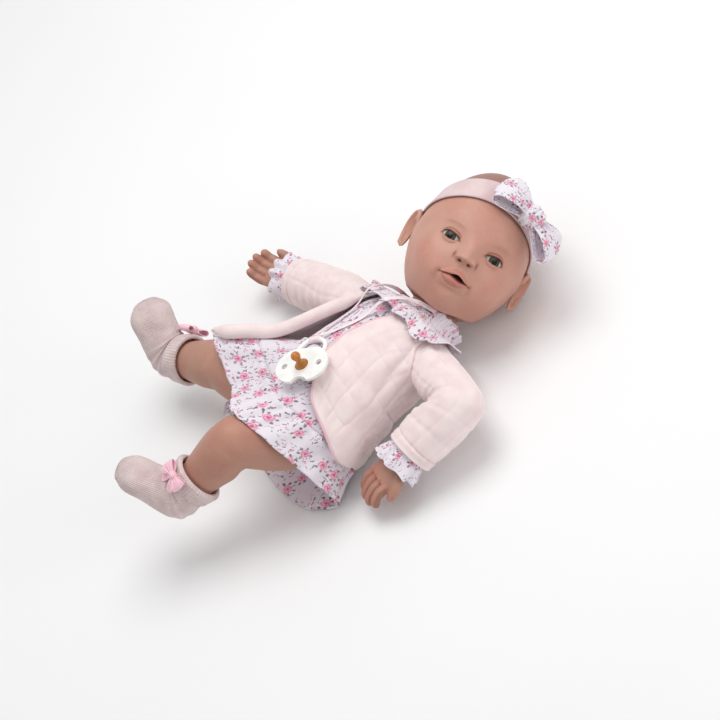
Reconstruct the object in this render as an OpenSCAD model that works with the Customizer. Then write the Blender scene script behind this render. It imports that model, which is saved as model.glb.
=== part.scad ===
/* [Body] */
// Length of the stuffed body from crotch to neck
torso_len = 156; // [146:1:166]
// Width of the stuffed body at the hips
hip_w = 98; // [92:1:104]
// Width of the stuffed body at the waist
waist_w = 92; // [86:1:98]
// Width of the stuffed body at the chest
chest_w = 90; // [84:1:96]
// Depth of the stuffed body at the belly
belly_d = 79; // [75:1:84]
// Depth of the stuffed body at the chest
chest_d = 68; // [64:1:74]
// Width and depth of the stuffed body where the neck is tied
body_neck_w = 47; // [44:1:52]
// Height of the shoulder joints above the crotch
shoulder_rise = 128; // [122:1:132]
// Distance of a shoulder joint inside the side of the chest
shoulder_inset = 11; // [9:0.5:13]
// Height of the hip joints above the crotch
hip_rise = 31; // [28:1:36]
// Distance between the hip joints
hip_span = 58; // [54:1:62]

/* [Head] */
// Width of the skull without the ears
head_w = 93; // [88:1:98]
// Height of the head from chin to crown
head_h = 117; // [112:1:122]
// Depth of the head from forehead to back
head_d = 111; // [106:1:116]
// Thickness of the vinyl of the head
head_wall = 5; // [4:0.5:6]
// Radius of the neck
neck_r = 20; // [18:0.5:22]
// Length of the neck between body and head
neck_len = 9; // [7:1:12]
// Distance of the neck axis behind the middle of the head
neck_back = 9; // [6:1:12]
// Radius of an eyeball
eye_r = 11; // [10:0.25:12]
// Angle of each eye from the middle of the face
eye_angle = 21; // [19:0.5:24]

/* [Arms] */
// Length of the upper arm
upper_arm_len = 66; // [62:1:70]
// Length of the forearm from elbow to wrist
forearm_len = 60; // [56:1:66]
// Radius of the upper arm
arm_r = 13.5; // [12:0.25:15]
// Radius of the wrist
wrist_r = 9.5; // [8.5:0.25:10.5]
// Width of the palm
palm_w = 28; // [25:0.5:31]
// Thickness of the palm
palm_t = 15; // [13:0.5:17]
// Length of the palm from wrist to knuckles
palm_len = 23; // [20:1:26]
// Length of a middle finger
finger_len = 19; // [16:1:22]
// Radius of a finger at its root
finger_r = 4; // [3.5:0.1:4.4]

/* [Legs] */
// Length of the thigh
thigh_len = 71; // [66:1:76]
// Length of the lower leg from knee to ankle
shin_len = 55; // [50:1:60]
// Radius of the thigh
thigh_r = 25; // [23:0.5:27]
// Radius of the knee
knee_r = 22; // [20:0.5:24]
// Radius of the calf
calf_r = 19.5; // [18:0.5:21]
// Radius of the ankle
ankle_r = 15; // [13.5:0.5:16.5]
// Length of the foot from ankle to toe
foot_len = 46; // [42:1:50]
// Width of the foot
foot_w = 32; // [29:0.5:35]

/* [Clothes] */
// Thickness of the cotton of the dress
cotton_t = 1.2; // [1:0.1:1.5]
// Thickness of the quilted jacket
quilt_t = 3; // [2.5:0.1:3.5]
// Thickness of the knit of the socks
knit_t = 2; // [1.6:0.1:2.4]
// Radius of a jacket sleeve at the armhole
sleeve_r = 19.5; // [19:0.25:21]
// Radius of a jacket sleeve at its widest
sleeve_puff_r = 21; // [20:0.25:22.5]
// Width of the neck ruffle
collar_w = 24; // [20:1:28]
// Depth of the waves of the ruffles
ruffle_wave = 2.2; // [1.5:0.1:2.8]
// Waves of the neck ruffle
collar_waves = 12; // [9:1:15]
// Waves of a sleeve ruffle
cuff_waves = 9; // [7:1:11]
// Length of a sleeve ruffle
cuff_len = 15; // [12:1:18]
// Width of the headband
band_w = 17; // [14:1:20]
// Thickness of the headband
band_t = 2; // [1.6:0.1:2.4]
// Length of the turned cuff of a sock
sock_cuff_len = 14; // [11:1:16]

/* [Pacifier] */
// Width of the shield
shield_w = 44; // [40:1:48]
// Height of the shield
shield_h = 31; // [28:1:34]
// Thickness of the shield
shield_t = 2.6; // [2.2:0.1:3.2]
// Outer diameter of the ring handle
ring_d = 27; // [24:1:30]
// Thickness of the ring handle
ring_t = 4; // [3.5:0.1:4.6]
// Diameter of the knob that carries the ring
knob_d = 15; // [13:0.5:17]
// Length of the teat
teat_len = 14; // [12:1:17]
// Diameter of the teat bulb
teat_d = 7.5; // [6:0.5:9]
// Width of the ribbon
ribbon_w = 4.5; // [3.5:0.25:5.5]
// Thickness of the ribbon
ribbon_t = 0.9; // [0.7:0.1:1.2]

/* [Sound unit] */
// Width of the case
case_w = 56; // [54:1:58]
// Length of the case
case_l = 54; // [52:1:56]
// Depth of the case
case_h = 31; // [30:0.5:33]
// Wall of the case
case_wall = 2; // [1.6:0.1:2.4]
// Diameter of a battery cell
cell_d = 10.5; // [10.3:0.1:10.7]
// Length of a battery cell
cell_l = 44; // [43:0.25:44.5]
// Diameter of the speaker
speaker_d = 28; // [26:0.5:30]
// Diameter of the squeeze button
button_d = 20; // [18:0.5:21]
// Travel of the squeeze button
button_travel = 2; // [1.5:0.1:2.4]
// Travel of the power switch
switch_travel = 2.5; // [2:0.1:2.8]

/* [Pose] */
// Nod of the head towards the chest
head_nod = 16; // [12:1:20]
// Lean of the head to its right
head_lean = 8; // [4:1:12]
// Turn of the head to its left
head_turn = 43; // [30:1:50]

/* [Fits] */
// Gap between layers of cloth and between turning pieces
clearance = 0.4; // [0.3:0.05:0.5]
// Depth of the flat that the weight presses into the back of the jacket
flat_cut = 1.5; // [1:0.1:2]
// Radius of the flange that holds an arm
arm_flange_r = 7.5; // [7:0.25:8.5]
// Radius of the flange that holds a leg
leg_flange_r = 12; // [11:0.25:13]
// Radius of the flange that holds the head
neck_flange_r = 14; // [13:0.25:15]
// Depth of the groove behind a flange
groove_depth = 2.5; // [2:0.1:3]
// Thickness of a flange and of a tie
tie_t = 3; // [2.5:0.1:3.5]

/* [Hidden] */
$fn = 48;

skin = [0.80, 0.60, 0.50];
cotton = [0.94, 0.91, 0.94];
quilt = [0.94, 0.86, 0.86];
knit = [0.97, 0.95, 0.93];
satin = [0.96, 0.72, 0.78];
white_plastic = [0.95, 0.95, 0.94];
grey_plastic = [0.55, 0.56, 0.58];

// Heading and rise of each length of the limbs as the doll lies
left_upper_arm = [-11, 4];
left_forearm = [-99, -15];
left_hand = [-102, -9];
right_upper_arm = [-178, -12];
right_forearm = [-165, -2];
right_hand = [-163, 6];
left_thigh = [-111, 30];
left_shin = [-111, -19];
left_foot = [-149, 51];
right_thigh = [-166, 7];
right_shin = [-158, -5];
right_foot = [147, 59];

// Vector and curve helpers
function unit(v) = v / norm(v);
function aim(a) = [cos(a[1]) * cos(a[0]), cos(a[1]) * sin(a[0]), sin(a[1])];
function mix(a, b, t) = a + (b - a) * t;
function ease(t) = t * t * (3 - 2 * t);
function limit(t, low, high) = min(max(t, low), high);
function along(p, i) =
    i < 0 ? 2 * p[0] - p[1] :
    i >= len(p) ? 2 * p[len(p) - 1] - p[len(p) - 2] : p[i];
function curve_point(a, b, c, d, t) =
    (2 * b + (c - a) * t + (2 * a - 5 * b + 4 * c - d) * t * t + (3 * b - a - 3 * c + d) * t * t * t) / 2;
function spline(p, k) = concat(
    [for (i = [0 : len(p) - 2]) for (j = [0 : k - 1])
        curve_point(along(p, i - 1), p[i], p[i + 1], along(p, i + 2), j / k)],
    [p[len(p) - 1]]);
function closed_spline(p, count) = let (n = len(p))
    [for (j = [0 : count - 1]) let (s = j * n / count, i = floor(s))
        curve_point(p[(i + n - 1) % n], p[i % n], p[(i + 1) % n], p[(i + 2) % n], s - i)];
function column(list, k) = [for (row = list) row[k]];

// Rings of points round a line, one ring per station of centre, heading, side, width and height
function ring(s, n) = let (t = unit(s[1]), e1 = unit(s[2] - t * (t * s[2])), e2 = cross(t, e1))
    [for (j = [0 : n - 1]) s[0] + e1 * s[3] * cos(360 * j / n) + e2 * s[4] * sin(360 * j / n)];
function smooth_stations(list, k) = let (
    centre = spline(column(list, 0), k), heading = spline(column(list, 1), k),
    side = spline(column(list, 2), k), width = spline(column(list, 3), k),
    height = spline(column(list, 4), k))
    [for (i = [0 : len(centre) - 1]) [centre[i], heading[i], side[i], width[i], height[i]]];
function grown(s, by) = [s[0], s[1], s[2], s[3] + by, s[4] + by];
function rings_of(list, n) = [for (s = list) ring(s, n)];

// Triangles of a surface of rings: rows of n points that close round
function band_faces(rows, n, loop) = [
    for (i = [0 : rows - (loop ? 1 : 2)]) for (j = [0 : n - 1])
        let (a = i * n + j, b = i * n + (j + 1) % n, k = ((i + 1) % rows) * n, c = k + (j + 1) % n, d = k + j)
        each [[a, c, b], [a, d, c]]];
function middle(p) = [for (k = [0 : 2]) [for (q = p) q[k]] * [for (q = p) 1 / len(p)]];

module loft(rings) {
    n = len(rings[0]);
    rows = len(rings);
    flat = [for (r = rings) each r];
    start = len(flat);
    polyhedron(
        concat(flat, [middle(rings[0]), middle(rings[rows - 1])]),
        concat(band_faces(rows, n, false),
            [for (j = [0 : n - 1]) [start, j, (j + 1) % n]],
            [for (j = [0 : n - 1]) [start + 1, (rows - 1) * n + (j + 1) % n, (rows - 1) * n + j]]),
        convexity = 8);
}

module loop_loft(rings) {
    polyhedron([for (r = rings) each r], band_faces(len(rings), len(rings[0]), true), convexity = 8);
}

// A sheet of cloth between two grids of points with the same rows and columns
module cloth(top, under) {
    rows = len(top);
    n = len(top[0]);
    far = rows * n;
    function at(i, j) = i * n + j;
    polyhedron(
        concat([for (r = top) each r], [for (r = under) each r]),
        concat(
            [for (i = [0 : rows - 2]) for (j = [0 : n - 2]) each [
                [at(i, j), at(i, j + 1), at(i + 1, j + 1)], [at(i, j), at(i + 1, j + 1), at(i + 1, j)],
                [far + at(i, j), far + at(i + 1, j + 1), far + at(i, j + 1)],
                [far + at(i, j), far + at(i + 1, j), far + at(i + 1, j + 1)]]],
            [for (i = [0 : rows - 2]) each [
                [at(i, 0), at(i + 1, 0), far + at(i + 1, 0)], [at(i, 0), far + at(i + 1, 0), far + at(i, 0)],
                [at(i, n - 1), far + at(i + 1, n - 1), at(i + 1, n - 1)],
                [at(i, n - 1), far + at(i, n - 1), far + at(i + 1, n - 1)]]],
            [for (j = [0 : n - 2]) each [
                [at(0, j), far + at(0, j + 1), at(0, j + 1)], [at(0, j), far + at(0, j), far + at(0, j + 1)],
                [at(rows - 1, j), at(rows - 1, j + 1), far + at(rows - 1, j + 1)],
                [at(rows - 1, j), far + at(rows - 1, j + 1), far + at(rows - 1, j)]]]),
        convexity = 8);
}

// Turns a solid made along +Z so that it points along a heading from a place, its seam off the corners
seam_turn = 25;
module placed(place, heading) {
    d = unit(heading);
    translate(place) rotate([0, acos(d.z), atan2(d.y, d.x)]) rotate([0, 0, seam_turn]) children();
}

// Layers of cloth over the body, each between an inner and an outer distance
under_in = clearance;
under_out = under_in + cotton_t;
skirt_in = under_out + clearance;
skirt_fold = 0.8;
jacket_in = skirt_in + skirt_fold + cotton_t + clearance;
jacket_out = jacket_in + quilt_t;
body_back = jacket_out - flat_cut;

// Stations of the stuffed body: share of its length, width, depth and height of the back line
crotch_y = -88;
body_points = 24;
body_stations = [
    [0, hip_w * 0.26, belly_d * 0.26, 24],
    [0.04, hip_w * 0.66, belly_d * 0.6, 11],
    [0.13, hip_w * 0.94, belly_d * 0.86, 3],
    [0.27, hip_w, belly_d * 0.98, 0],
    [0.46, waist_w, belly_d, 0],
    [0.64, chest_w, mix(belly_d, chest_d, 0.5), 0],
    [0.78, chest_w, chest_d, 1],
    [0.89, chest_w * 0.88, chest_d * 0.88, 2],
    [0.96, mix(chest_w, body_neck_w, 0.75), chest_d * 0.76, 3],
    [1, body_neck_w, body_neck_w, 5]];
body_line = spline(body_stations, 2);
function body_y(f) = crotch_y + torso_len * f;
half_w_table = [for (s = body_line) [body_y(s[0]), s[1] / 2]];
half_d_table = [for (s = body_line) [body_y(s[0]), s[2] / 2]];
back_table = [for (s = body_line) [body_y(s[0]), s[3] + body_back]];
function half_w(y) = lookup(y, half_w_table);
function half_d(y) = lookup(y, half_d_table);
function mid_z(y) = lookup(y, back_table) + half_d(y);
function body_point(y, angle, off) =
    [(half_w(y) + off) * sin(angle), y, mid_z(y) + (half_d(y) + off) * cos(angle)];
function body_ring(y, off, n) = [for (j = [0 : n - 1]) body_point(y, 360 * j / n, off)];

// Joints of the limbs
neck_y = crotch_y + torso_len;
shoulder_y = crotch_y + shoulder_rise;
hip_y = crotch_y + hip_rise;
shoulder_x = chest_w / 2 - shoulder_inset;
left_shoulder = [shoulder_x, shoulder_y, mid_z(shoulder_y)];
right_shoulder = [-shoulder_x, shoulder_y, mid_z(shoulder_y)];
left_hip = [hip_span / 2, hip_y, mid_z(hip_y)];
right_hip = [-hip_span / 2, hip_y, mid_z(hip_y)];
left_knee = left_hip + aim(left_thigh) * thigh_len;
right_knee = right_hip + aim(right_thigh) * thigh_len;

// Head frame: up, face and left, turned about the neck
neck_place = [0, neck_y, mid_z(neck_y)];
head_up = unit([-sin(head_lean), cos(head_lean) * cos(head_nod), sin(head_nod)]);
head_fore = unit([0, 0, 1] - head_up * head_up.z);
head_side = cross(head_up, head_fore);
head_face = head_fore * cos(head_turn) + head_side * sin(head_turn);
head_left = head_side * cos(head_turn) - head_fore * sin(head_turn);
neck_drop = head_h * 0.42;
head_place = neck_place + head_up * (neck_len + neck_drop) + head_face * neck_back;
function from_head(v) = head_place + head_left * v.x + head_up * v.y + head_face * v.z;
function look(az, el) = [cos(el) * sin(az), sin(el), cos(el) * cos(az)];

// Features of the face as swellings: heading, height, spread
face_features = [
    [look(30, -26), 5, 21], [look(-30, -26), 5, 21],
    [look(0, -54), 4.5, 15], [look(0, -11), 7, 7], [look(0, 2), 1.5, 8],
    [look(0, -27), 3.4, 7], [look(0, -34), 3, 7], [look(0, 26), 2, 28],
    [look(eye_angle, 1), -4, 10], [look(-eye_angle, 1), -4, 10],
    [look(97, -4), 6, 11], [look(-97, -4), 6, 11],
    [look(180, 12), 3, 45], [look(0, 80), 11, 40]];
function swelling(d) = [for (f = face_features) f[1] * exp(-pow(acos(limit(d * f[0], -1, 1)) / f[2], 2))]
    * [for (f = face_features) 1];
function skull(d) = 1 / norm([d.x * 2 / head_w, d.y * 2 / head_h, d.z * 2 / head_d]);
function face_radius(d) = skull(d) + swelling(d);

// Cloth is pushed out of the body, the thighs and the surface that the doll lies on
function off_body(p, off) = let (
    c = mid_z(p.y), q = norm([p.x / (half_w(p.y) + off), (p.z - c) / (half_d(p.y) + off)]))
    p.y < crotch_y || q >= 1 || q == 0 ? p : [p.x / q, p.y, c + (p.z - c) / q];
function off_limb(p, a, b, ra, rb, off) = let (
    t = limit((p - a) * (b - a) / ((b - a) * (b - a)), 0, 1), c = mix(a, b, t),
    r = mix(ra, rb, t) + off, d = norm(p - c))
    d >= r || d == 0 ? p : c + (p - c) * r / d;
function drape(p, off, low) = let (
    q = off_limb(off_limb(off_body(p, off), left_hip, left_knee, thigh_r, knee_r, off),
        right_hip, right_knee, thigh_r, knee_r, off))
    [q.x, q.y, max(q.z, low)];
function grid_normal(g, i, j, round) = let (
    rows = len(g), n = len(g[0]),
    a = g[max(i - 1, 0)][j], b = g[min(i + 1, rows - 1)][j],
    c = g[i][round ? (j + n - 1) % n : max(j - 1, 0)], d = g[i][round ? (j + 1) % n : min(j + 1, n - 1)])
    unit(cross(b - a, d - c));
function thickened(g, t, round) =
    [for (i = [0 : len(g) - 1]) [for (j = [0 : len(g[0]) - 1]) g[i][j] + grid_normal(g, i, j, round) * t]];
function reversed(g) = [for (i = [len(g) - 1 : -1 : 0]) g[i]];

room_len = 80;
// Pocket of a flange and its tie, and the room that a limb needs outside
module limb_room(place, heading, flange_r, limb_r) {
    placed(place, heading) {
        translate([0, 0, -3 * tie_t - clearance])
            cylinder(r = flange_r + clearance, h = 3 * tie_t + 2 * clearance);
        translate([0, 0, -2 * tie_t + clearance])
            cylinder(r = flange_r + groove_depth, h = tie_t);
        cylinder(r = limb_r + clearance, h = room_len);
    }
}
module limb_tie(place, heading, flange_r) {
    color("whitesmoke") placed(place, heading) translate([0, 0, -2 * tie_t + clearance]) difference() {
        cylinder(r = flange_r + groove_depth, h = tie_t);
        translate([0, 0, -1]) cylinder(r = flange_r - groove_depth + clearance, h = tie_t + 2);
    }
}
module limb_flange(place, heading, flange_r) {
    placed(place, heading) {
        translate([0, 0, -3 * tie_t]) cylinder(r = flange_r, h = tie_t);
        translate([0, 0, -3 * tie_t]) cylinder(r = flange_r - groove_depth, h = 4 * tie_t);
    }
}

// Sound unit place, with its back towards the back of the doll
case_y = -5;
case_place = [0, case_y, mid_z(case_y) - case_h / 2 - 2];
case_r = 6;
button_cap_t = 1.4;
button_out = button_travel + button_cap_t;
neck_room = 10;

module torso() {
    color("bisque") difference() {
        loft([for (s = body_line) body_ring(body_y(s[0]), 0, body_points)]);
        limb_room(left_shoulder, aim(left_upper_arm), arm_flange_r, sleeve_r);
        limb_room(right_shoulder, aim(right_upper_arm), arm_flange_r, sleeve_r);
        limb_room(left_hip, aim(left_thigh), leg_flange_r, thigh_r);
        limb_room(right_hip, aim(right_thigh), leg_flange_r, thigh_r);
        limb_room(neck_place, head_up, neck_flange_r, neck_r + neck_room);
        translate(case_place) {
            translate([0, 0, -clearance]) linear_extrude(case_h + 2 * clearance) case_outline(clearance);
            translate([0, 0, case_h]) cylinder(d = button_d + 2, h = button_out + clearance);
        }
    }
}
module neck_tie() limb_tie(neck_place, head_up, neck_flange_r);
module arm_tie_left() limb_tie(left_shoulder, aim(left_upper_arm), arm_flange_r);
module arm_tie_right() limb_tie(right_shoulder, aim(right_upper_arm), arm_flange_r);
module leg_tie_left() limb_tie(left_hip, aim(left_thigh), leg_flange_r);
module leg_tie_right() limb_tie(right_hip, aim(right_thigh), leg_flange_r);

// Clothes of the body
module leg_holes() {
    for (leg = [[left_hip, left_thigh], [right_hip, right_thigh]])
        placed(leg[0], aim(leg[1])) cylinder(r = thigh_r + 2 * clearance, h = room_len);
}
module arm_holes(extra) {
    for (arm = [[left_shoulder, left_upper_arm], [right_shoulder, right_upper_arm]])
        placed(arm[0], aim(arm[1])) {
            cylinder(r = sleeve_r + extra, h = room_len);
            translate([0, 0, upper_arm_len * 0.4]) cylinder(r = sleeve_puff_r + 3 * extra, h = room_len);
        }
}
waist_y = body_y(0.46);
bloomers_y = body_y(0.33);
module bloomers() {
    steps = concat([for (s = body_line) if (body_y(s[0]) < bloomers_y) body_y(s[0])], [bloomers_y]);
    function tip(off) = [for (p = body_ring(crotch_y, off, body_points)) p - [0, off, 0]];
    color(cotton) difference() {
        loft(concat([tip(under_out)], [for (y = steps) body_ring(y, under_out, body_points)],
            [for (y = reversed(steps)) body_ring(y, under_in, body_points)], [tip(under_in)]));
        leg_holes();
    }
}
bodice_top_y = body_y(0.955);
module dress_bodice() {
    low = waist_y + 3 * clearance;
    steps = concat([low], [for (s = body_line) let (y = body_y(s[0])) if (y > low && y < bodice_top_y) y],
        [bodice_top_y]);
    color(cotton) difference() {
        loop_loft(concat([for (y = steps) body_ring(y, under_out, body_points)],
            [for (y = reversed(steps)) body_ring(y, under_in, body_points)]));
        arm_holes(clearance);
    }
}
hem_ring = [
    [-42, hip_y - 30, 76], left_knee + [-12, 14, 18], left_knee + [20, 16, 12], left_hip + [27, -34, 4],
    [left_hip.x + 25, hip_y - 30, 8], [left_hip.x + 6, hip_y - 48, 6], [-14, hip_y - 52, 6],
    [-66, hip_y - 42, 6], right_knee + [-2, -24, -38], right_knee + [-8, 8, -36],
    right_knee + [-8, 33, -4], right_knee + [-6, 12, 30]];
skirt_steps = 7;
skirt_points = 48;
skirt_gathers = 12;
skirt_low = body_back - skirt_in;
skirt_grid = let (
    top = body_ring(waist_y, under_in, skirt_points), hem = closed_spline(hem_ring, skirt_points))
    [for (i = [0 : skirt_steps]) let (t = i / skirt_steps, flare = pow(t, 1.5))
        [for (j = [0 : skirt_points - 1]) let (
            angle = 360 * j / skirt_points,
            fold = sin(angle * skirt_gathers),
            p = mix(top[j], hem[j], flare) + [sin(angle), 0, cos(angle)] * (fold + 1) * 1.6 * t,
            q = [p.x, mix(top[j].y, hem[j].y, t), p.z])
            drape(q, i == 0 ? under_in : skirt_in + skirt_fold * (1 + fold) / 2, skirt_low)]];
skirt_outer = thickened(skirt_grid, cotton_t, true);
module dress_skirt() {
    color(cotton) loop_loft(concat(reversed(skirt_outer), skirt_grid));
}

// Neck ruffle: a ring of cloth sewn to the neckline that lies over the jacket at the front
collar_points = 60;
collar_rows = 3;
collar_y = body_y(0.955);
collar_back_y = 5;
collar_flare = 18;
function off_sleeve(p, shoulder, t1, off) =
    off_limb(p, shoulder, shoulder + t1 * upper_arm_len, sleeve_r, sleeve_puff_r, off);
function off_sleeves(p, off) =
    off_sleeve(off_sleeve(p, left_shoulder, aim(left_upper_arm), off), right_shoulder, aim(right_upper_arm), off);
collar_grid = [for (i = [0 : collar_rows]) let (t = i / collar_rows)
    [for (j = [0 : collar_points - 1]) let (
        a = 360 * j / collar_points, front = (1 + cos(a)) / 2,
        fall = ease(limit((front - 0.42) / 0.4, 0, 1)),
        wave = ruffle_wave * front * t * (1 + sin(a * collar_waves)),
        over = mix(jacket_in, jacket_out + 3 * clearance, min(1, 2 * front)),
        off = mix(under_out + clearance, over, min(1, collar_rows * t)),
        flare = (1 - fall) * ease(limit((front - 0.12) / 0.3, 0, 1)),
        side_y = mix(collar_back_y * (1 - front), ruffle_wave * (1 + sin(a * collar_waves)) / 2, flare))
        off_sleeves(body_point(collar_y + t * mix(side_y, -0.7 * collar_w, fall), a,
            off + wave + t * flare * collar_flare), t * (quilt_t + 2 * clearance) + wave / 2)]];
module collar_ruffle() {
    color(cotton) loop_loft(concat(reversed(thickened(collar_grid, cotton_t, true)), collar_grid));
}

// Jacket: left front, back and right front in one sheet, open at the front
jacket_top_y = body_y(0.905);
jacket_rows = 10;
left_edge = spline([body_point(jacket_top_y, 30, jacket_in), body_point(body_y(0.76), 12, jacket_in),
    left_hip + [-22, 47, 45], left_hip + [-2, 7, 38]], jacket_rows);
right_edge = spline([body_point(jacket_top_y, -40, jacket_in), body_point(body_y(0.7), -50, jacket_in + 4),
    right_hip + [-39, 35, 45], right_knee + [-4, 8, 32]], jacket_rows);
left_seam = spline([body_point(jacket_top_y, 88, jacket_in), body_point(body_y(0.55), 92, jacket_in),
    left_hip + [24, -8, 4]], jacket_rows);
right_seam = spline([body_point(jacket_top_y, -88, jacket_in), body_point(body_y(0.7), -92, jacket_in),
    body_point(body_y(0.48), -94, jacket_in + 3)], jacket_rows);
function sample(line, t) = let (s = t * (len(line) - 1), i = min(floor(s), len(line) - 2))
    mix(line[i], line[i + 1], s - i);
jacket_hem_y = hip_y - 4;
front_steps = 6;
back_steps = 14;
puff = [5, 0, 6];
jacket_low = body_back - jacket_in;
skirt_reach = 30;
skirt_tops = [for (i = [1 : skirt_steps]) each skirt_outer[i]];
skirt_outs = [for (i = [1 : skirt_steps]) for (j = [0 : skirt_points - 1])
    grid_normal(skirt_grid, i, j, true)];
function nearest(p, list) = let (d = [for (q = list) norm(p - q)], m = min(d)) [for (i = [0 : len(d) - 1])
    if (d[i] == m) i][0];
function off_skirt(p, gap) = let (
    i = nearest(p, skirt_tops), away = p - skirt_tops[i], rise = away * skirt_outs[i])
    rise >= gap || norm(away) > skirt_reach ? p : p + skirt_outs[i] * (gap - rise);
jacket_gap = 3.8;
function jacket_point(p) = let (
    q = off_skirt(off_skirt(off_skirt(drape(p, jacket_in, jacket_low), jacket_gap), jacket_gap), jacket_gap))
    [q.x, q.y, max(q.z, jacket_low)];
jacket_grid = [for (i = [0 : jacket_rows - 1]) let (
    v = i / (jacket_rows - 1), le = sample(left_edge, v), ls = sample(left_seam, v),
    rs = sample(right_seam, v), re = sample(right_edge, v))
    concat(
        [for (j = [0 : front_steps - 1]) let (u = j / front_steps)
            jacket_point(mix(le, ls, u) + puff * sin(180 * u) * ease(v))],
        [for (j = [0 : back_steps]) let (
            u = j / back_steps,
            y = mix(mix(ls.y, rs.y, u), mix(jacket_top_y, jacket_hem_y, v), sin(180 * u)),
            p = body_point(y, mix(90, 270, u), jacket_in))
            jacket_point(mix(j < back_steps / 2 ? ls : rs, p, pow(sin(180 * u), 0.5)))],
        [for (j = [1 : front_steps]) let (u = j / front_steps)
            jacket_point(mix(rs, re, u) + [-puff.x, 0, puff.z] * sin(180 * u) * ease(v))])];
module jacket_body() {
    color(quilt) difference() {
        cloth(thickened(jacket_grid, quilt_t, false), jacket_grid);
        arm_holes(2 * clearance);
        translate([-200, -200, -100]) cube([400, 400, 100]);
    }
}

// Head, its eyes and what it wears
head_points = 44;
face_warp = 24;
function turn_of(j) = let (a = 360 * j / head_points - 180) a - face_warp * sin(a);
function head_ring(el, inner) = [for (j = [0 : head_points - 1]) let (d = look(turn_of(j), el))
    from_head(d * (inner ? skull(d) - head_wall : face_radius(d)))];
function neck_ring(r) = [for (j = [0 : head_points - 1]) from_head([r * sin(turn_of(j)), -neck_drop,
    r * cos(turn_of(j)) - neck_back])];
outer_rise = [84, 76, 66, 56, 46, 37, 29, 22, 16, 11, 6, 2, -2, -6, -10, -14, -18, -22, -26, -30, -34, -38,
    -43, -48, -53, -57];
inner_rise = [-50, -26, 0, 26, 50, 76];
module head() {
    color(skin) difference() {
        loft(reversed(concat([for (el = outer_rise) head_ring(el, false)], [neck_ring(neck_r)],
            [neck_ring(neck_r - head_wall)], [for (el = inner_rise) head_ring(el, true)])));
        for (side = [-1, 1]) translate(eye_place(side)) sphere(r = eye_r + clearance);
    }
}
function eye_place(side) = let (d = look(side * eye_angle, 1)) from_head(d * (face_radius(d) - eye_r + 3));
module eye(side) {
    color("white") translate(eye_place(side)) sphere(r = eye_r);
}
module eye_left() eye(1);
module eye_right() eye(-1);
module neck_plug() {
    color(skin) union() {
        limb_flange(neck_place, head_up, neck_flange_r);
        placed(neck_place + head_up * clearance, head_up)
            cylinder(r = neck_r, h = neck_len - 1.5 * clearance);
    }
}
sensor_d = 12;
sensor_t = 4;
sensor_gap = 1.6;
module mouth_sensor() {
    d = look(0, -30);
    color("dimgray") placed(from_head(d * (skull(d) - head_wall - sensor_t - sensor_gap)),
        head_face * d.z + head_up * d.y) cylinder(d = sensor_d, h = sensor_t);
}

// Headband in a plane that passes over the upper forehead and behind the ears
band_tilt = 24;
band_points = 40;
function band_ring(height, off) = [for (j = [0 : band_points - 1]) let (
    a = 360 * j / band_points,
    flat = [sin(a), cos(a) * sin(band_tilt), cos(a) * cos(band_tilt)],
    rise = asin(height / (head_d / 2)),
    d = unit(flat * cos(rise) + [0, cos(band_tilt), -sin(band_tilt)] * sin(rise)))
    from_head(d * (face_radius(d) + off))];
band_low = 14;
band_steps = [for (k = [0 : 3]) band_low + band_w * k / 3];
module headband() {
    color(quilt) loop_loft(concat([for (h = band_steps) band_ring(h, clearance + band_t)],
        [for (h = reversed(band_steps)) band_ring(h, clearance)]));
}

// Bow of two loops and a knot on a base point with its outward, long and cross headings
module bow(place, out, long, loop_len, loop_h, loop_d, knot_r) {
    side = cross(out, long);
    union() {
        for (way = [-1, 1]) loft(rings_of(smooth_stations([
            [place + long * way * knot_r * 0.4, long * way, out, loop_d * 0.32, loop_h * 0.2],
            [place + long * way * loop_len * 0.35, long * way, out, loop_d * 0.42, loop_h * 0.34],
            [place + long * way * loop_len * 0.75, long * way, out, loop_d * 0.5, loop_h * 0.5],
            [place + long * way * loop_len, long * way, out, loop_d * 0.3, loop_h * 0.42]], 2), 12));
        loft(rings_of(smooth_stations([
            [place - side * knot_r, side, out, loop_d * 0.45, knot_r * 0.8],
            [place, side, out, loop_d * 0.62, knot_r],
            [place + side * knot_r, side, out, loop_d * 0.45, knot_r * 0.8]], 2), 12));
    }
}
bow_look = look(28, 38);
module hair_bow() {
    depth = 18;
    out = unit(head_left * bow_look.x + head_up * bow_look.y + head_face * bow_look.z);
    long = unit(cross(out, cross(head_left - head_up * 0.25, out)));
    color(cotton) bow(from_head(bow_look * (face_radius(bow_look) + band_t + 2 * clearance + depth / 2 + 2)),
        out, long, 33, 26, depth, 8);
}

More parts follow.
